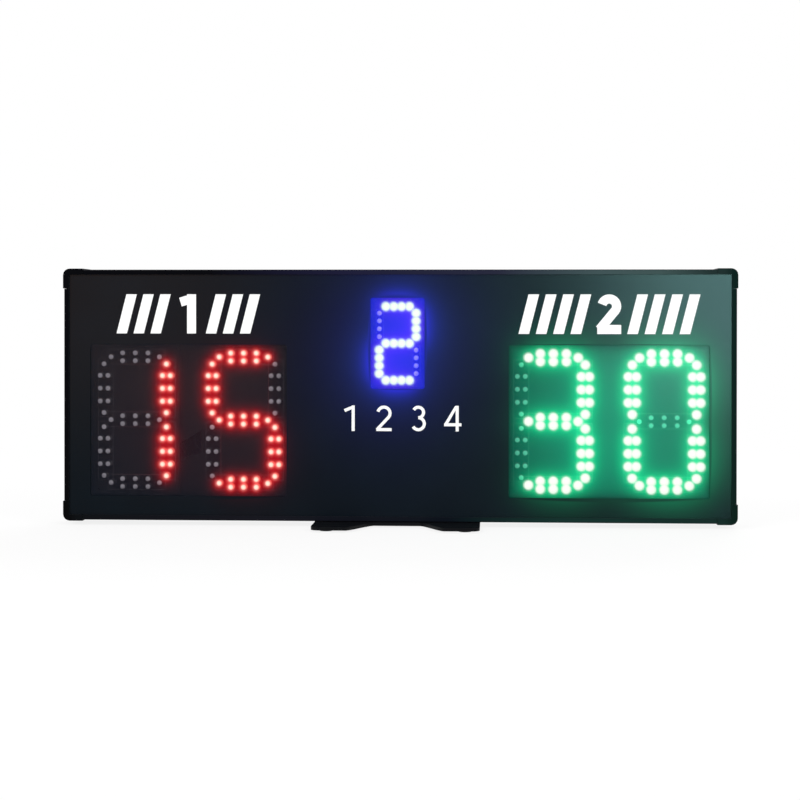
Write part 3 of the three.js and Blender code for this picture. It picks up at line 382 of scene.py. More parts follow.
# The switch's rocker, from its pivot, and the marks on its two halves.
ROCKER_PIVOT = Vector(next(joint["pos_m"] for joint in frame["joints"] if joint["name"] == "switch_tip"))
ROCKER_CREST = Vector((0.0, 2.2, 7.4)) * MM
ROCKER_DIP = Vector((0.0, 0.8, 0.0)) * MM
ROCKER_TILT = math.radians(-12)
ROCKER_MARK_THICKNESS = 0.05 * MM
ROCKER_MARK_REACH = 1.5 * MM
ROCKER_MARK_WIDTH = 0.5 * MM
ROCKER_RING_SIDES = 32


# Camera and studio


def new_object(name, data):
    thing = bpy.data.objects.new(name, data)
    bpy.context.scene.collection.objects.link(thing)
    return thing


def add_camera():
    pan, tilt, roll = CAMERA_PAN, CAMERA_TILT, CAMERA_ROLL
    forward = Vector((math.sin(pan) * math.cos(tilt), math.cos(pan) * math.cos(tilt), math.sin(tilt)))
    level = forward.cross(Vector((0, 0, 1))).normalized()
    above = level.cross(forward)
    right = math.cos(roll) * level + math.sin(roll) * above
    up = right.cross(forward)
    camera = new_object("camera", bpy.data.cameras.new("camera"))
    camera.data.sensor_width = SENSOR
    camera.data.lens = FOCAL_PIXELS / FRAME_PIXELS * SENSOR
    camera.data.shift_y = -CAMERA_DROP_PIXELS / FRAME_PIXELS
    camera.data.clip_end = CAMERA_REACH
    turn = Matrix((right, up, -forward)).transposed().to_4x4()
    camera.matrix_world = Matrix.Translation(CAMERA_PLACE) @ turn
    bpy.context.scene.camera = camera


def add_lamp(name, place, width, height, power):
    """An area lamp that is turned to the object."""
    lamp = bpy.data.lights.new(name, "AREA")
    lamp.shape = "RECTANGLE"
    lamp.size = width
    lamp.size_y = height
    lamp.energy = power
    turn = (LAMP_TARGET - Vector(place)).to_track_quat("-Z", "Y").to_matrix().to_4x4()
    new_object(name, lamp).matrix_world = Matrix.Translation(Vector(place)) @ turn


def shown_rays(tree):
    """1 for camera, glossy and transmission rays, which see the background as it is, and 0 for the rest."""
    rays = new_node(tree, "ShaderNodeLightPath")
    seen = joined(tree, "MAXIMUM", rays["Is Camera Ray"], rays["Is Glossy Ray"])
    return joined(tree, "MAXIMUM", seen, rays["Is Transmission Ray"])


def add_world():
    world = bpy.data.worlds.new("studio")
    world.use_nodes = True
    tree = world.node_tree
    strength = ranged(tree, shown_rays(tree), WORLD_LEVEL, 1.0, 0.0, 1.0)
    feed(tree, "Background", {"Color": (*WHITE, 1.0), "Strength": strength})
    bpy.context.scene.world = world


def plane(name, corners, material):
    """A flat piece of the studio, which is no part of the object."""
    piece = new_object(name, new_mesh(name, corners, [tuple(range(len(corners)))]))
    piece.data.materials.append(material)
    return piece


def add_floor():
    """A pale floor that keeps the object's shadow and fades into the white background away from it."""
    material, tree = new_material("floor")
    feed(tree, SHADER, {"Base Color": (*FLOOR_COLOR, 1.0), "Roughness": 0.9, "Specular IOR Level": 0.1})
    place = new_node(tree, "ShaderNodeNewGeometry")["Position"]
    reach = new_node(tree, "ShaderNodeVectorMath", {0: place}, operation="LENGTH")["Value"]
    away = ranged(tree, reach, FLOOR_WHITE_SHARE, 1.0, FLOOR_CLEAR_FROM, FLOOR_CLEAR_TO)
    away.node.interpolation_type = "SMOOTHERSTEP"
    share = joined(tree, "MULTIPLY", away, shown_rays(tree))
    lit, white = tree.nodes[SHADER].outputs[0], emission(tree, WHITE)
    mixed = new_node(tree, "ShaderNodeMixShader", {"Fac": share, 1: lit, 2: white})[0]
    feed(tree, "Material Output", {"Surface": mixed})
    half = FLOOR_HALF
    plane("floor", [(-half, -half, 0), (half, -half, 0), (half, half, 0), (-half, half, 0)], material)


def add_card(name, reach_x, reach_z, light):
    """A tinted studio card behind the camera, seen only in reflections, for the panel's soft sheen."""
    material, tree = new_material(name)
    tree.nodes.remove(tree.nodes[SHADER])
    feed(tree, "Material Output", {"Surface": emission(tree, light)})
    (left, right), (low, high) = reach_x, reach_z
    corners = [(left, CARD_Y, low), (right, CARD_Y, low), (right, CARD_Y, high), (left, CARD_Y, high)]
    card = plane(name, corners, material)
    for rays in ("camera", "diffuse", "transmission", "shadow"):
        setattr(card, f"visible_{rays}", False)
    return card


def add_sheen(front_sheets):
    """The cards, linked to the front sheets alone, so that nothing else mirrors them."""
    group = bpy.data.collections.new("front_sheets")
    for sheet in front_sheets:
        group.objects.link(sheet)
    for name, values in SHEEN_CARDS.items():
        add_card(name, *values).light_linking.receiver_collection = group


def add_studio():
    bpy.context.scene.view_settings.view_transform = "Standard"
    add_world()
    add_floor()
    for name, values in LAMPS.items():
        add_lamp(name, *values)


# Materials


def new_material(name):
    material = bpy.data.materials.new(name)
    material.use_nodes = True
    return material, material.node_tree


def feed(tree, name, inputs):
    """Links the inputs of a node that are given as sockets, and sets those that are given as values."""
    for key, value in inputs.items():
        socket = tree.nodes[name].inputs[key]
        if isinstance(value, bpy.types.NodeSocket):
            tree.links.new(value, socket)
        else:
            socket.default_value = value


def new_node(tree, kind, inputs=None, **settings):
    """The outputs of a new node."""
    node = tree.nodes.new(kind)
    for key, value in settings.items():
        setattr(node, key, value)
    feed(tree, node.name, inputs or {})
    return node.outputs


def emission(tree, color):
    return new_node(tree, "ShaderNodeEmission", {"Color": (*color, 1.0)})[0]


def joined(tree, operation, first, second):
    """One value out of two."""
    return new_node(tree, "ShaderNodeMath", {0: first, 1: second}, operation=operation)[0]


def scaled(tree, vector, share):
    return new_node(tree, "ShaderNodeVectorMath", {0: vector, "Scale": share}, operation="SCALE")[0]


def ranged(tree, value, low, high, from_low=NOISE_LOW, from_high=NOISE_HIGH):
    """A value moved from one range, as a rule that of noise, to another."""
    ends = {"From Min": from_low, "From Max": from_high, "To Min": low, "To Max": high}
    return new_node(tree, "ShaderNodeMapRange", {"Value": value, **ends})["Result"]


def mixed_color(tree, share, first, second):
    inputs = {"Factor": share, "A": first, "B": second}
    return new_node(tree, "ShaderNodeMix", inputs, data_type="RGBA")["Result"]


def object_place(tree, stretch=(1.0, 1.0, 1.0)):
    place = new_node(tree, "ShaderNodeTexCoord")["Object"]
    return new_node(tree, "ShaderNodeMapping", {"Vector": place, "Scale": stretch})["Vector"]


def noise(tree, place, size, detail=3.0, roughness=0.5):
    values = {"Vector": place, "Scale": 1.0 / size, "Detail": detail, "Roughness": roughness}
    return new_node(tree, "ShaderNodeTexNoise", values)["Fac"]


def ramped(tree, value, low, high, stops):
    """A colour along a value from low to high, with stops given as (value, colour)."""
    ramp = new_node(tree, "ShaderNodeValToRGB", {"Fac": ranged(tree, value, 0.0, 1.0, low, high)})["Color"]
    elements = ramp.node.color_ramp.elements
    while len(elements) < len(stops):
        elements.new(0.5)
    for element, (place, color) in zip(elements, stops):
        element.position = (place - low) / (high - low)
        element.color = (*color, 1.0)
    return ramp


def mottled(tree, place, size, color, mottle):
    """A colour that varies a little in patches of the given size."""
    share = ranged(tree, noise(tree, place, size, detail=2.0), 0.0, 1.0)
    dark, light = [(*(min(1.0, tone * c) for c in color), 1.0) for tone in (1 - mottle, 1 + mottle)]
    return mixed_color(tree, share, dark, light)


def relief(tree, height, strength, depth):
    inputs = {"Height": height, "Strength": strength, "Distance": depth}
    return new_node(tree, "ShaderNodeBump", inputs)["Normal"]


def give_light(material, light, strength=1.0):
    """Light that a surface gives off, which shows on it and isn't sampled as a lamp."""
    feed(material.node_tree, SHADER, {"Emission Color": light, "Emission Strength": strength})
    material.cycles.emission_sampling = "NONE"


def add_glow(material, gain=1.0):
    """Light that comes from the mesh's own glow colours."""
    glow = new_node(material.node_tree, "ShaderNodeAttribute", attribute_name="glow")["Color"]
    give_light(material, glow, gain)


def add_front_light(material):
    """Painted light on the faces towards the front, where the lit figures and the studio light the frame
    too, and painted shade that keeps those faces darker than the others.
    """
    tree = material.node_tree
    coordinates = new_node(tree, "ShaderNodeTexCoord")
    place = new_node(tree, "ShaderNodeSeparateXYZ", {0: coordinates["Object"]})
    facing = new_node(tree, "ShaderNodeSeparateXYZ", {0: coordinates["Normal"]})["Y"]
    low_z, high_z = BOTTOM_LIGHT_SHARE * cad_high[2], TOP_LIGHT_SHARE * cad_high[2]
    share = ranged(tree, place["Z"], 0.0, 1.0, low_z, high_z)
    bottom, top = [ramped(tree, place["X"], cad_low[0], cad_high[0], stops) for stops in FRONT_LIGHT]
    front = ranged(tree, facing, 1.0, 0.0, FRONT_FACING, SIDE_FACING)
    light = scaled(tree, mixed_color(tree, share, bottom, top), front)
    # Painted shade: faces that look to the front keep the darker base colour, and the other faces get it
    # lightened.
    base = tree.nodes[SHADER].inputs["Base Color"].links[0].from_socket
    tone = ranged(tree, facing, 1.0, PAINTED_FRONT_SHADE, FRONT_FACING, SIDE_FACING)
    feed(tree, SHADER, {"Base Color": scaled(tree, base, tone)})
    give_light(material, light)


def finish(name, color, rough, metal=0.0, specular=0.5, grain=0.5 * MM, bump=0.3, depth=0.02 * MM,
           mottle=0.12, spread=0.05, stretch=(1.0, 1.0, 1.0), alpha=1.0, glow=False):
    """A surface whose colour and roughness vary a little, with a fine grain that bumps it."""
    material, tree = new_material(name)
    place = object_place(tree, stretch)
    fine = noise(tree, place, grain)
    feed(tree, SHADER, {
        "Base Color": mottled(tree, place, PATCH_GRAINS * grain, color, mottle),
        "Roughness": ranged(tree, fine, rough - spread, rough + spread),
        "Normal": relief(tree, fine, bump, depth),
        "Metallic": metal,
        "Specular IOR Level": specular,
        "Alpha": alpha,
    })
    if glow:
        add_glow(material)
    return material


def glowing_sheet(name, color, rough, specular, alpha=1.0, gain=1.0):
    """A smooth dark sheet with the mesh's own glow, which is smoked where alpha is below one."""
    material, tree = new_material(name)
    place = object_place(tree)
    dust = noise(tree, place, DUST_SIZE, detail=4.0, roughness=0.7)
    clean, dusty = DUST_ROUGHNESS
    ripple = noise(tree, place, RIPPLE_SIZE, detail=1.0)
    feed(tree, SHADER, {
        "Base Color": mottled(tree, place, SHEET_PATCH, color, SHEET_MOTTLE),
        "Roughness": ranged(tree, dust, rough + clean, rough + dusty),
        "Normal": relief(tree, ripple, RIPPLE_STRENGTH, RIPPLE_DEPTH),
        "Specular IOR Level": specular,
        "Alpha": alpha,
    })
    add_glow(material, gain)
    return material


def lit_lens(name, light):
    """The lens of a lit LED."""
    material, tree = new_material(name)
    feed(tree, SHADER, {"Base Color": (*LENS_COLOR, 1.0), "Roughness": 0.25, "Specular IOR Level": 0.1})
    give_light(material, (*light, 1.0))
    return material


def make_materials():
    for name, values in FINISHES.items():
        MATERIALS[name] = finish(name, **values)
    for name, values in SHEETS.items():
        MATERIALS[name] = glowing_sheet(name, **values)
    for name, light in LENS_LIGHT.items():
        MATERIALS[name] = lit_lens(name, light)
    add_front_light(MATERIALS["anodised"])
    add_front_light(MATERIALS["cap_plastic"])


# Meshes


def new_mesh(name, points, faces, kinds=None):
    """A mesh, with the number of each face's material where there is more than one."""
    mesh = bpy.data.meshes.new(name)
    mesh.from_pydata(points, [], faces)
    if kinds:
        mesh.polygons.foreach_set("material_index", kinds)
    return mesh


def built_mesh(name, bm):
    """A mesh of what has been built in bm."""
    mesh = bpy.data.meshes.new(name)
    bm.to_mesh(mesh)
    bm.free()
    return mesh


def new_piece(mesh, looks, body="housing", replaces=()):
    """An object of a mesh that rides a body of the frame."""
    piece = new_object(mesh.name, mesh)
    for look in looks:
        mesh.materials.append(MATERIALS[look])
    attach(piece, body)
    if replaces:
        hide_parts(*replaces)
    return piece


def centre_of(name):
    """The middle of a node's box in X and Z."""
    low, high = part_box(name)
    return (low.x + high.x) / 2, (low.z + high.z) / 2


def half_size_of(name):
    """Half the width and half the height of a node's box."""
    low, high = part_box(name)
    return (high.x - low.x) / 2, (high.z - low.z) / 2


def rounded_outline(x, z, half_width, half_height, radius, steps=5):
    """Points of a rectangle with round corners, counted round from its right side."""
    points = []
    for turn, (sx, sz) in enumerate([(1, 1), (-1, 1), (-1, -1), (1, -1)]):
        for step in range(steps + 1):
            angle = (turn + step / steps) * math.pi / 2
            points.append((x + sx * (half_width - radius) + radius * math.cos(angle),
                           z + sz * (half_height - radius) + radius * math.sin(angle)))
    return points


def spread_points(x, z, half_width, half_height, pitch):
    """Points of an even grid inside a rectangle, half a pitch in from its edge."""
    count_x = max(2, round(2 * half_width / pitch))
    count_z = max(2, round(2 * half_height / pitch))
    xs = x - half_width + (np.arange(count_x) + 0.5) * 2 * half_width / count_x
    zs = z - half_height + (np.arange(count_z) + 0.5) * 2 * half_height / count_z
    return [(u, w) for u in xs for w in zs]


def within_any(outlines, flat, face):
    """Whether the middle of a face lies in one of the outlines."""
    u = sum(flat[i][0] for i in face) / len(face)
    w = sum(flat[i][1] for i in face) / len(face)
    for outline in outlines:
        if not min(p[0] for p in outline) < u < max(p[0] for p in outline):
            continue
        crossings = 0
        for (x0, z0), (x1, z1) in zip(outline, outline[1:] + outline[:1]):
            if (z0 > w) != (z1 > w) and u < x0 + (w - z0) * (x1 - x0) / (z1 - z0):
                crossings += 1
        if crossings % 2:
            return True
    return False


def filled(outer, inner_points, holes=()):
    """Triangles over an outline with the given points inside it, left out where they lie in a hole."""
    points = list(outer)
    edges = []
    for hole in holes:
        first = len(points)
        points += hole
        edges += [(first + i, first + (i + 1) % len(hole)) for i in range(len(hole))]
    points += inner_points
    found = delaunay_2d_cdt([Vector(p) for p in points], edges, [list(range(len(outer)))], 1, MERGE_WITHIN)
    flat = [tuple(p) for p in found[0]]
    triangles = [tuple(face) for face in found[2] if not within_any(holes, flat, face)]
    return flat, triangles


def facing_front(flat, triangles, y):
    """The sheet's points at one depth, with each triangle turned to face the front."""
    points = [(u, y, w) for u, w in flat]
    turned = []
    for a, b, c in triangles:
        (ax, az), (bx, bz), (cx, cz) = flat[a], flat[b], flat[c]
        area = (bx - ax) * (cz - az) - (bz - az) * (cx - ax)
        turned.append((a, b, c) if area > 0 else (a, c, b))
    return points, turned


def circle(radius, sides):
    """Points round a circle, counted from its right side."""
    turns = [side / sides * 2 * math.pi for side in range(sides)]
    return [(radius * math.cos(turn), radius * math.sin(turn)) for turn in turns]


def ring_faces(first_a, first_b, count):
    """Quads between two closed rows of points."""
    steps = [(i, (i + 1) % count) for i in range(count)]
    return [(first_a + i, first_b + i, first_b + j, first_a + j) for i, j in steps]


def box_mesh(bm, low, high, material=0):
    corners = [bm.verts.new(corner) for corner in product(*zip(low, high))]
    for quad in ((0, 1, 3, 2), (4, 6, 7, 5), (0, 4, 5, 1), (2, 3, 7, 6), (0, 2, 6, 4), (1, 5, 7, 3)):
        bm.faces.new([corners[i] for i in quad]).material_index = material


def distances(points, sources):
    """How far each of the points of X and Z lies from each source."""
    places = np.array(points)
    return [np.hypot(places[:, 0] - x, places[:, 1] - z) for x, z in sources]


def light_at(points, sources, terms):
    """Light at points of X and Z from lit LEDs, as a sum of bells and tails round each."""
    total = np.zeros((len(points), 3))
    for away in distances(points, sources):
        for color, form, reach in terms:
            level = np.exp(-((away / reach) ** 2)) if form == "bell" else np.exp(-away / reach)
            total += level[:, None] * np.array(color)
    return total


def store_glow(mesh, colors):
    layer = mesh.attributes.new("glow", "FLOAT_COLOR", "POINT")
    rgba = np.ones((len(mesh.vertices), 4), np.float32)
    rgba[:, :3] = colors
    layer.data.foreach_set("color", rgba.ravel())


# LED figures


def is_score(name):
    return name != "middle_figure"


def stroke_length(name):
    return SCORE_STROKE if is_score(name) else MIDDLE_STROKE


def stroke_spots(name):
    """Where the LEDs of one of a figure's strokes lie, along and across it."""
    if not is_score(name):
        return [(share * MIDDLE_LED_PITCH, 0.0) for share in MIDDLE_LED_SHARES]
    pairs = product((-1, 0, 1), (-0.5, 0.5))
    ends = [(-SCORE_LED_END, 0.0), (SCORE_LED_END, 0.0)]
    return ends + [(along * SCORE_LED_PITCH, side * SCORE_LED_PAIR) for along, side in pairs]


def figure_leds(name):
    """Every LED of a figure as (x, z, lit)."""
    stroke = stroke_length(name)
    x, z = centre_of(name)
    leds = []
    for (sx, sz, level), state in zip(STROKE_SHARES, DIGIT_STROKES[FIGURES[name][0]]):
        for along, across in stroke_spots(name):
            u = sx * stroke + (along if level else across)
            w = sz * stroke + (across if level else along)
            leds.append((x + u, z + w, state == "1"))
    return leds


def lit_sources(figures):
    return [(x, z) for name in figures for x, z, lit in figure_leds(name) if lit]


def led_template():
    """One LED from its tip, as points, faces and each face's material: cup 0, body 1."""
    rings = []
    for ring in range(1, DOME_RINGS + 1):
        angle = ring / DOME_RINGS * math.pi / 2
        rings.append((LED_RADIUS * math.sin(angle), LED_RADIUS * (1 - math.cos(angle))))
    seat = LED_HEIGHT - LED_FLANGE_HEIGHT
    rings += [(LED_RADIUS, seat), (LED_FLANGE, seat), (LED_FLANGE, LED_HEIGHT)]
    points = [(0.0, 0.0, 0.0)]
    points += [(u, depth, w) for r, depth in rings for u, w in circle(r, LED_SIDES)]
    faces = [(0, 1 + (side + 1) % LED_SIDES, 1 + side) for side in range(LED_SIDES)]
    kinds = [0] * LED_SIDES
    for ring in range(len(rings) - 1):
        first = 1 + ring * LED_SIDES
        faces += [(a, d, c, b) for a, b, c, d in ring_faces(first, first + LED_SIDES, LED_SIDES)]
        kinds += [0 if ring < CUP_RINGS - 1 else 1] * LED_SIDES
    faces.append(tuple(range(len(points) - LED_SIDES, len(points))))
    kinds.append(1)
    return np.array(points), faces, kinds


def scattered_light(name, places):
    """Light that the lit LEDs of a figure's window scatter at places of X and Z."""
    color, figures = next(window for window in WINDOWS.values() if name in window[1])
    even, wide = WINDOW_FILL[color]
    tails = [term for term in HALOS[color] if term[1] == "tail"]
    return light_at(places, lit_sources(figures), tails + [(wide, "tail", FILL_REACH)]) + np.array(even)


def add_leds(name):
    """All the LEDs of a figure, with lit lenses where its digit has them."""
    points, faces, kinds = led_template()
    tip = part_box(name)[0].y
    all_points, all_faces, all_kinds, glows = [], [], [], []
    for number, (x, z, lit) in enumerate(figure_leds(name)):
        first = number * len(points)
        all_points.append(points + np.array((x, tip, z)))
        all_faces += [tuple(first + i for i in face) for face in faces]
        all_kinds += [kind + 2 * lit for kind in kinds]
        cup_glow = np.zeros(3) if lit else CUP_GLOW_SHARE * scattered_light(name, [(x, z)])[0]
        glows.append(np.tile(cup_glow, (len(points), 1)))
    places = np.concatenate(all_points).tolist()
    mesh = new_mesh(name.replace("figure", "leds"), places, all_faces, all_kinds)
    mesh.shade_smooth()
    store_glow(mesh, np.concatenate(glows))
    color = FIGURES[name][1]
    looks = [f"lens_cup_{color}", "lens_body", f"lit_{color}_core", f"lit_{color}_edge"]
    new_piece(mesh, looks)


def add_stroke_lines(bm, x, z, half_x, half_z, front):
    """Four printed lines round a stroke, a little above the board."""
    near, far = front - LINE_HEIGHT, front - LINE_LIFT_SHARE * LINE_HEIGHT
    half = LINE_WIDTH / 2
    for side in (-1, 1):
        edge_x, edge_z = x + side * half_x, z + side * half_z
        box_mesh(bm, (edge_x - half, near, z - half_z), (edge_x + half, far, z + half_z), 1)
        box_mesh(bm, (x - half_x, near, edge_z - half), (x + half_x, far, edge_z + half), 1)


def add_board(name):
    """A figure's board with its stroke lines in front and its plug behind."""
    low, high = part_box(name)
    x, z = centre_of(name)
    front = low.y + LED_HEIGHT
    back = front + BOARD_THICKNESS
    stroke = stroke_length(name)
    half_along = LINE_END if is_score(name) else MIDDLE_LINE_END
    half_across = LINE_REACH + (SCORE_LED_PAIR / 2 if is_score(name) else 0.0)
    bm = bmesh.new()
    box_mesh(bm, (low.x, front, low.z), (high.x, back, high.z))
    bmesh.ops.bevel(bm, geom=list(bm.edges), offset=EDGE_CHAMFER, segments=EDGE_SEGMENTS, affect="EDGES")
    for sx, sz, level in STROKE_SHARES:
        halves = (half_along, half_across) if level else (half_across, half_along)
        add_stroke_lines(bm, x + sx * stroke, z + sz * stroke, *halves, front)
    plug_low = (x - PLUG_WIDTH / 2, back, z - PLUG_HEIGHT / 2)
    plug_high = (x + PLUG_WIDTH / 2, high.y, z + PLUG_HEIGHT / 2)
    box_mesh(bm, plug_low, plug_high, 2)
    mesh = built_mesh(name.replace("figure", "board"), bm)
    store_glow(mesh, LINE_GLOW_SHARE * scattered_light(name, [(v.co.x, v.co.z) for v in mesh.vertices]))
    new_piece(mesh, ["board_mask", "board_line", "black_plastic"], replaces=[name])


# Windows and panel


def window_light(name, points, half_width, half_height):
    """Light in a window's pane: a halo and a core for each lit LED, and a fill that weakens at the edge."""
    color, figures = WINDOWS[name]
    even, wide = WINDOW_FILL[color]
    sources = lit_sources(figures)
    offset = abs(np.array(points) - centre_of(name))
    inside = np.minimum(half_width - offset[:, 0], half_height - offset[:, 1])
    share = 1 - (1 - FILL_EDGE_SHARE) * np.exp(-np.maximum(inside, 0.0) / FILL_EDGE)
    fill = share[:, None] * light_at(points, sources, [(wide, "tail", FILL_REACH)])
    light = np.maximum(light_at(points, sources, HALOS[color]) + fill + np.array(even), 0.0)
    if color not in CORES:
        return light
    core, radius = CORES[color]
    nearest = np.min(distances(points, sources), axis=0)
    cover = np.clip((radius - nearest) / CORE_EDGE + 0.5, 0.0, 1.0)[:, None]
    return (1 - cover) * light + cover * np.array(core)


def panel_light(points):
    """Light that the figures spill on the panel."""
    total = np.zeros((len(points), 3))
    for name, (color, figures) in WINDOWS.items():
        offset = (np.array(points) - centre_of(name)) / half_size_of(name)
        level = np.maximum(0.0, 1.0 + offset @ np.array(SPILL_LEAN[color]))
        total += level[:, None] * light_at(points, lit_sources(figures), PANEL_SPILL[color])
    return total


def add_window(name):
    """A smoked pane with a flange behind it. Its back face has a fine mesh that holds the LEDs' light."""
    low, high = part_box(name)
    x, z = centre_of(name)
    flange_width, flange_height = half_size_of(name)
    half_width, half_height = flange_width - WINDOW_FLANGE, flange_height - WINDOW_FLANGE
    step = high.y - WINDOW_FLANGE_THICKNESS

    def loop(growth, radius):
        return rounded_outline(x, z, half_width + growth, half_height + growth, radius)

    loops = [
        (loop(-EDGE_CHAMFER, WINDOW_RADIUS - EDGE_CHAMFER), low.y),
        (loop(0.0, WINDOW_RADIUS), low.y + EDGE_CHAMFER),
        (loop(0.0, WINDOW_RADIUS), step),
        (loop(WINDOW_FLANGE, WINDOW_RADIUS), step),
    ]
    count = len(loops[0][0])
    points = [(u, y, w) for outline, y in loops for u, w in outline]
    faces = [tuple(range(count))]
    for ring in range(len(loops)):
        faces += ring_faces(ring * count, (ring + 1) * count, count)
    margin = GLOW_PITCH / 2
    grid = spread_points(x, z, flange_width - margin, flange_height - margin, GLOW_PITCH)
    flat, triangles = filled(loops[-1][0], grid)
    back_points, front_facing = facing_front(flat, triangles, high.y)
    first = len(points)
    points += back_points
    kinds = [0] * len(faces) + [1] * len(front_facing)
    faces += [(first + a, first + c, first + b) for a, b, c in front_facing]
    mesh = new_mesh(f"{name}_pane", points, faces, kinds)
    glow = np.zeros((len(points), 3))
    glow[first:] = window_light(name, flat, half_width, half_height)
    store_glow(mesh, glow)
    return new_piece(mesh, ["window_front", "window_back"], replaces=[name])


def add_panel():
    """The front panel with its openings. Its front face has a mesh that holds the light on it."""
    low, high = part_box("front_panel")
    x, z = centre_of("front_panel")
    half_width, half_height = half_size_of("front_panel")
    openings = []
    for name in WINDOWS:
        reach = [size - WINDOW_FLANGE + FIT for size in half_size_of(name)]
        openings.append((*centre_of(name), *reach))
    outline = rounded_outline(x, z, half_width, half_height, PANEL_RADIUS)
    holes = [rounded_outline(*opening, WINDOW_RADIUS + FIT) for opening in openings]
    margin = PANEL_PITCH / 3

    def clear(u, w):
        return all(abs(u - cx) >= hw + margin or abs(w - cz) >= hh + margin for cx, cz, hw, hh in openings)

    grid = [point for point in spread_points(x, z, half_width, half_height, PANEL_PITCH) if clear(*point)]
    flat, triangles = filled(outline, grid, holes)
    front_points, front_faces = facing_front(flat, triangles, low.y)
    count = len(flat)
    points = front_points + [(u, high.y, w) for u, w in flat]
    faces = list(front_faces) + [(a + count, c + count, b + count) for a, b, c in front_faces]
    start = 0
    for loop in [outline] + holes:
        sides = ring_faces(start, start + count, len(loop))
        faces += sides if loop is outline else [(a, d, c, b) for a, b, c, d in sides]
        start += len(loop)
    mesh = new_mesh("panel_sheet", points, faces)
    glow = np.zeros((2 * count, 3))
    glow[:count] = panel_light(flat)
    store_glow(mesh, glow)
    return new_piece(mesh, ["panel"], replaces=["front_panel"])


# Printed marks


def add_print(name, outlines):
    """White print on the panel: the union of closed outlines of X and Z, raised by its thickness."""
    points, faces = [], []
    for outline in outlines:
        faces.append(list(range(len(points), len(points) + len(outline))))
        points += [Vector(point) for point in outline]
    found = delaunay_2d_cdt(points, [], faces, 1, MERGE_WITHIN)
    flat = [tuple(point) for point in found[0]]
    printed = [tuple(face) for face in found[2] if within_any(outlines, flat, face)]
    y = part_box("front_panel")[0].y
    near, triangles = facing_front(flat, printed, y - MARK_THICKNESS)
    count = len(flat)
    sides = {}
    for triangle in triangles:
        for a, b in zip(triangle, triangle[1:] + triangle[:1]):
            if sides.pop((b, a), None) is None:
                sides[(a, b)] = True
    faces = triangles + [(c + count, b + count, a + count) for a, b, c in triangles]
    faces += [(b, a, a + count, b + count) for a, b in sides]
    new_piece(new_mesh(name, near + [(u, y, w) for u, w in flat], faces), ["white_print"])


def add_bars(name, first_x, count):
    """A row of slanted bars."""
    low, high = MARK_TOP - MARK_HEIGHT, MARK_TOP
    outlines = []
    for bar in range(count):
        left = first_x + bar * BAR_PITCH
        right = left + BAR_WIDTH
        outlines.append([(left, low), (right, low), (right + BAR_SLANT, high), (left + BAR_SLANT, high)])
    add_print(name, outlines)


def arc(x, z, radius, start, end, steps=16):
    """Points of an arc between two angles in degrees, counted from the right and upwards."""
    angles = [math.radians(start + (end - start) * step / steps) for step in range(steps + 1)]
    return [(x + radius * math.cos(angle), z + radius * math.sin(angle)) for angle in angles]


def numeral_strokes(numeral, weight):
    """Centre lines of a plain numeral one unit high, and its width."""
    half = weight / 2
    width = {"1": 0.40, "2": 0.60, "3": 0.60, "4": 0.68}[numeral]
    middle = width / 2
    if numeral == "1":
        stem = width - half
        return [[(stem, 0.0), (stem, 1.0)], [(stem, 1.0 - half), (0.0, 0.80)]], width
    if numeral == "2":
        bowl = middle - half
        top = arc(middle, 1.0 - half - bowl, bowl, 165, -38)
        return [top + [(half / 2, half)], [(0.0, half), (width, half)]], width
    if numeral == "3":
        high, low = 0.235 - half / 2, 0.265 - half / 2
        upper = arc(middle, 1.0 - half - high, high, 150, -90)
        lower = arc(middle, half + low, low, 90, -150)
        return [upper, lower], width
    stem, bar = width - 2.8 * half, 0.26
    slope = [(stem - half / 2, 1.0), (half, bar)]
    return [[(stem, 0.0), (stem, 1.0)], slope, [(0.0, bar), (width, bar)]], width


def stroke_edges(points, half):
    """The two edges of a stroke round its centre line, with mitred turns."""
    left, right = [], []
    for place, point in enumerate(points):
        here = Vector(point)
        before = (here - Vector(points[place - 1])).normalized() if place else None
        after = (Vector(points[place + 1]) - here).normalized() if place < len(points) - 1 else None
        along = ((before or after) + (after or before)).normalized()
        across = along.orthogonal()
        reach = half / max(0.5, across.dot((after or before).orthogonal()))
        left.append(here + across * reach)
        right.append(here - across * reach)
    return left, right


def add_numeral(name, numeral, centre_x, top, height, weight):
    """A plain numeral of strokes of even weight."""
    strokes, width = numeral_strokes(numeral, weight)

    def placed(point):
        level = min(1.0, max(0.0, point.y))
        return centre_x + (point.x - width / 2) * height, top - height + level * height

    outlines = []
    for stroke in strokes:
        left, right = stroke_edges(stroke, weight / 2)
        for i in range(len(left) - 1):
            outlines.append([placed(point) for point in (left[i], left[i + 1], right[i + 1], right[i])])
    add_print(name, outlines)


def add_marks():
    """A numeral between bars above each score, and a row of numerals below the middle figure."""
    for side, count, numeral in (("left", 3, "1"), ("right", 4, "2")):
        centre, _ = centre_of(f"{side}_window")
        width = (count - 1) * BAR_PITCH + BAR_WIDTH + BAR_SLANT
        add_bars(f"{side}_mark_bars_1", centre - MARK_GAP - width, count)
        add_bars(f"{side}_mark_bars_2", centre + MARK_GAP, count)
        add_numeral(f"{side}_mark_numeral", numeral, centre, MARK_TOP, MARK_HEIGHT, MARK_WEIGHT_SHARE)
    for place, numeral in enumerate("1234"):
        x = LOW_MARK_X + (place - 1.5) * LOW_MARK_PITCH
        size = (LOW_MARK_TOP, LOW_MARK_HEIGHT, LOW_MARK_WEIGHT_SHARE)
        add_numeral(f"middle_mark_{numeral}", numeral, x, *size)


# The frame's own pieces


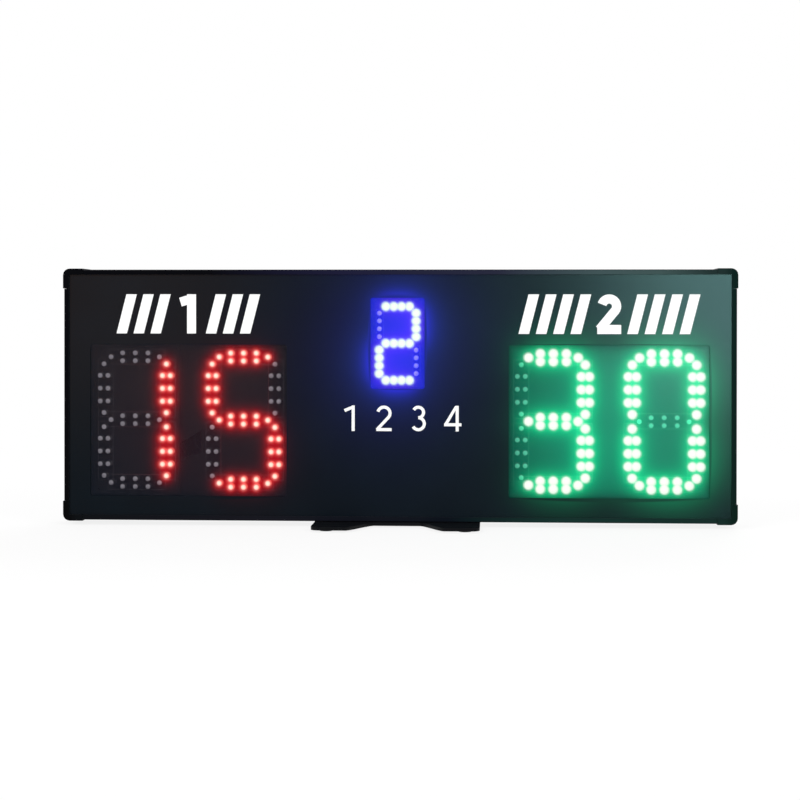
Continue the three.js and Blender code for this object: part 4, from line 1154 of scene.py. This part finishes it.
def smooth_group():
    """A modifier's node group that shades faces smooth up to an angle between them."""
    group = bpy.data.node_groups.new("smooth_by_angle", "GeometryNodeTree")
    for in_out in ("INPUT", "OUTPUT"):
        group.interface.new_socket("Geometry", in_out=in_out, socket_type="NodeSocketGeometry")
    whole = new_node(group, "NodeGroupInput")[0]
    smooth = new_node(group, "GeometryNodeSetShadeSmooth", {"Geometry": whole})[0]
    angle = new_node(group, "GeometryNodeInputMeshEdgeAngle")["Unsigned Angle"]
    wide = new_node(group, "FunctionNodeCompare", {"A": angle, "B": SMOOTH_TO})[0]
    edges = {"Geometry": smooth, "Selection": wide, "Shade Smooth": False}
    sharp = new_node(group, "GeometryNodeSetShadeSmooth", edges, domain="EDGE")[0]
    new_node(group, "NodeGroupOutput", {0: sharp})
    return group


def round_edges(piece, radius, smoothing):
    steps = {
        "WELD": dict(merge_threshold=WELD_WITHIN),
        "DECIMATE": dict(decimate_type="DISSOLVE", angle_limit=FLAT_WITHIN),
        "BEVEL": dict(width=radius, segments=EDGE_SEGMENTS, limit_method="ANGLE", angle_limit=BEVEL_FROM,
                      miter_outer="MITER_ARC"),
        "NODES": dict(node_group=smoothing),
        "WEIGHTED_NORMAL": dict(keep_sharp=True, weight=LARGE_FACE_WEIGHT),
    }
    for kind, settings in steps.items():
        modifier = piece.modifiers.new(kind.lower(), kind)
        for key, value in settings.items():
            setattr(modifier, key, value)


def dress_frame():
    for look, names in CAD_FINISHES.items():
        for name in names:
            mesh = NODES[name].data
            mesh.materials.clear()
            mesh.materials.append(MATERIALS[look])
    smoothing = smooth_group()
    for radius, names in EDGE_RADIUS:
        for name in names:
            round_edges(NODES[name], radius, smoothing)


# Screws and the marks on the rocker


def cross_outline(x, z, share=1.0):
    """A screw's cross recess, counted round from its right arm's lower corner."""
    reach, half = share * RECESS_REACH, share * RECESS_WIDTH / 2
    arm = [(reach, -half), (reach, half), (half, half)]
    turns = ((1, 0), (0, 1), (-1, 0), (0, -1))
    return [(x + u * c - w * s, z + u * s + w * c) for c, s in turns for u, w in arm]


def screw_profile(tip, top, head_radius):
    """A screw's side as (radius, y), from its tip to the flat of its head."""
    seat = top - SCREW_HEAD_HEIGHT
    shank = SCREW_SHANK_RADIUS
    sides = [(SCREW_TIP_SHARE * shank, tip), (shank, tip + (1 - SCREW_TIP_SHARE) * shank), (shank, seat)]
    return sides + [(r * head_radius, seat + h * SCREW_HEAD_HEIGHT) for r, h in HEAD_PROFILE_SHARES]


def screw_mesh(name, x, z, tip, top, head_radius):
    """A pan head screw along Y with a tapered cross recess in its head."""
    profile = screw_profile(tip, top, head_radius)
    points = [(x + u, y, z + w) for r, y in profile for u, w in circle(r, SCREW_SIDES)]
    faces = [tuple(range(SCREW_SIDES))[::-1]]
    for ring in range(len(profile) - 1):
        faces += ring_faces(ring * SCREW_SIDES, (ring + 1) * SCREW_SIDES, SCREW_SIDES)
    first = len(points)
    rim = [(u, w) for u, _, w in points[-SCREW_SIDES:]]
    mouth = cross_outline(x, z)
    flat, triangles = filled(rim, [], [mouth])
    points += [(u, top, w) for u, w in flat]
    faces += [tuple(first + i for i in face) for face in triangles]
    floor_first = len(points)
    points += [(u, top - RECESS_DEPTH, w) for u, w in cross_outline(x, z, RECESS_TAPER_SHARE)]
    faces += ring_faces(first + SCREW_SIDES, floor_first, len(mouth))
    faces.append(tuple(range(floor_first, floor_first + len(mouth))))
    mesh = new_mesh(name, points, faces)
    bm = bmesh.new()
    bm.from_mesh(mesh)
    bmesh.ops.remove_doubles(bm, verts=list(bm.verts), dist=WELD_WITHIN)
    bmesh.ops.recalc_face_normals(bm, faces=list(bm.faces))
    bm.to_mesh(mesh)
    bm.free()
    mesh.shade_smooth()
    mesh.set_sharp_from_angle(angle=SMOOTH_TO)
    return mesh


def add_screws():
    for place, count in SCREW_COUNTS.items():
        for number in range(1, count + 1):
            name = f"{place}_screw_{number}"
            low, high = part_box(name)
            mesh = screw_mesh(f"{name}_cross_head", *centre_of(name), low.y, high.y, half_size_of(name)[0])
            new_piece(mesh, ["zinc"], replaces=[name])


def rocker_place(side, u, w, lift):
    """A place on the rocker's upper half, side 1, or lower half, side -1, at u across and w along it."""
    crest = Vector((0.0, ROCKER_CREST.y, side * ROCKER_CREST.z))
    along = Vector((0.0, ROCKER_CREST.y - ROCKER_DIP.y, side * ROCKER_CREST.z)).normalized()
    out = Vector((0.0, side * along.z, -side * along.y))
    place = (ROCKER_DIP + crest) / 2 + Vector((u, 0.0, 0.0)) + along * w + out * lift
    return ROCKER_PIVOT + Matrix.Rotation(ROCKER_TILT, 3, "X") @ place


def add_strip(bm, side, inner, outer, closed):
    """A thin raised strip on a half of the rocker, between two lines."""
    lines = [(inner, 0.0), (inner, ROCKER_MARK_THICKNESS), (outer, ROCKER_MARK_THICKNESS), (outer, 0.0)]
    rows = [[bm.verts.new(rocker_place(side, u, w, lift)) for u, w in line] for line, lift in lines]
    count = len(inner)
    for i in range(count if closed else count - 1):
        j = (i + 1) % count
        for a, b in zip(rows, rows[1:]):
            bm.faces.new((a[i], a[j], b[j], b[i]))
    if not closed:
        bm.faces.new([row[0] for row in rows])
        bm.faces.new([row[-1] for row in rows][::-1])


def add_rocker_marks():
    """A bar on the rocker's upper half and a ring on its lower half, printed in white."""
    half, reach = ROCKER_MARK_WIDTH / 2, ROCKER_MARK_REACH
    bm = bmesh.new()
    add_strip(bm, 1, [(-half, -reach), (-half, reach)], [(half, -reach), (half, reach)], False)
    add_strip(bm, -1, circle(reach - 2 * half, ROCKER_RING_SIDES), circle(reach, ROCKER_RING_SIDES), True)
    bmesh.ops.recalc_face_normals(bm, faces=list(bm.faces))
    new_piece(built_mesh("rocker_marks", bm), ["white_print"], body="rocker")


def main():
    add_camera()
    add_studio()
    make_materials()
    dress_frame()
    for name in FIGURES:
        add_leds(name)
        add_board(name)
    front_sheets = [add_window(name) for name in WINDOWS]
    front_sheets.append(add_panel())
    add_sheen(front_sheets)
    add_marks()
    add_screws()
    add_rocker_marks()


main()
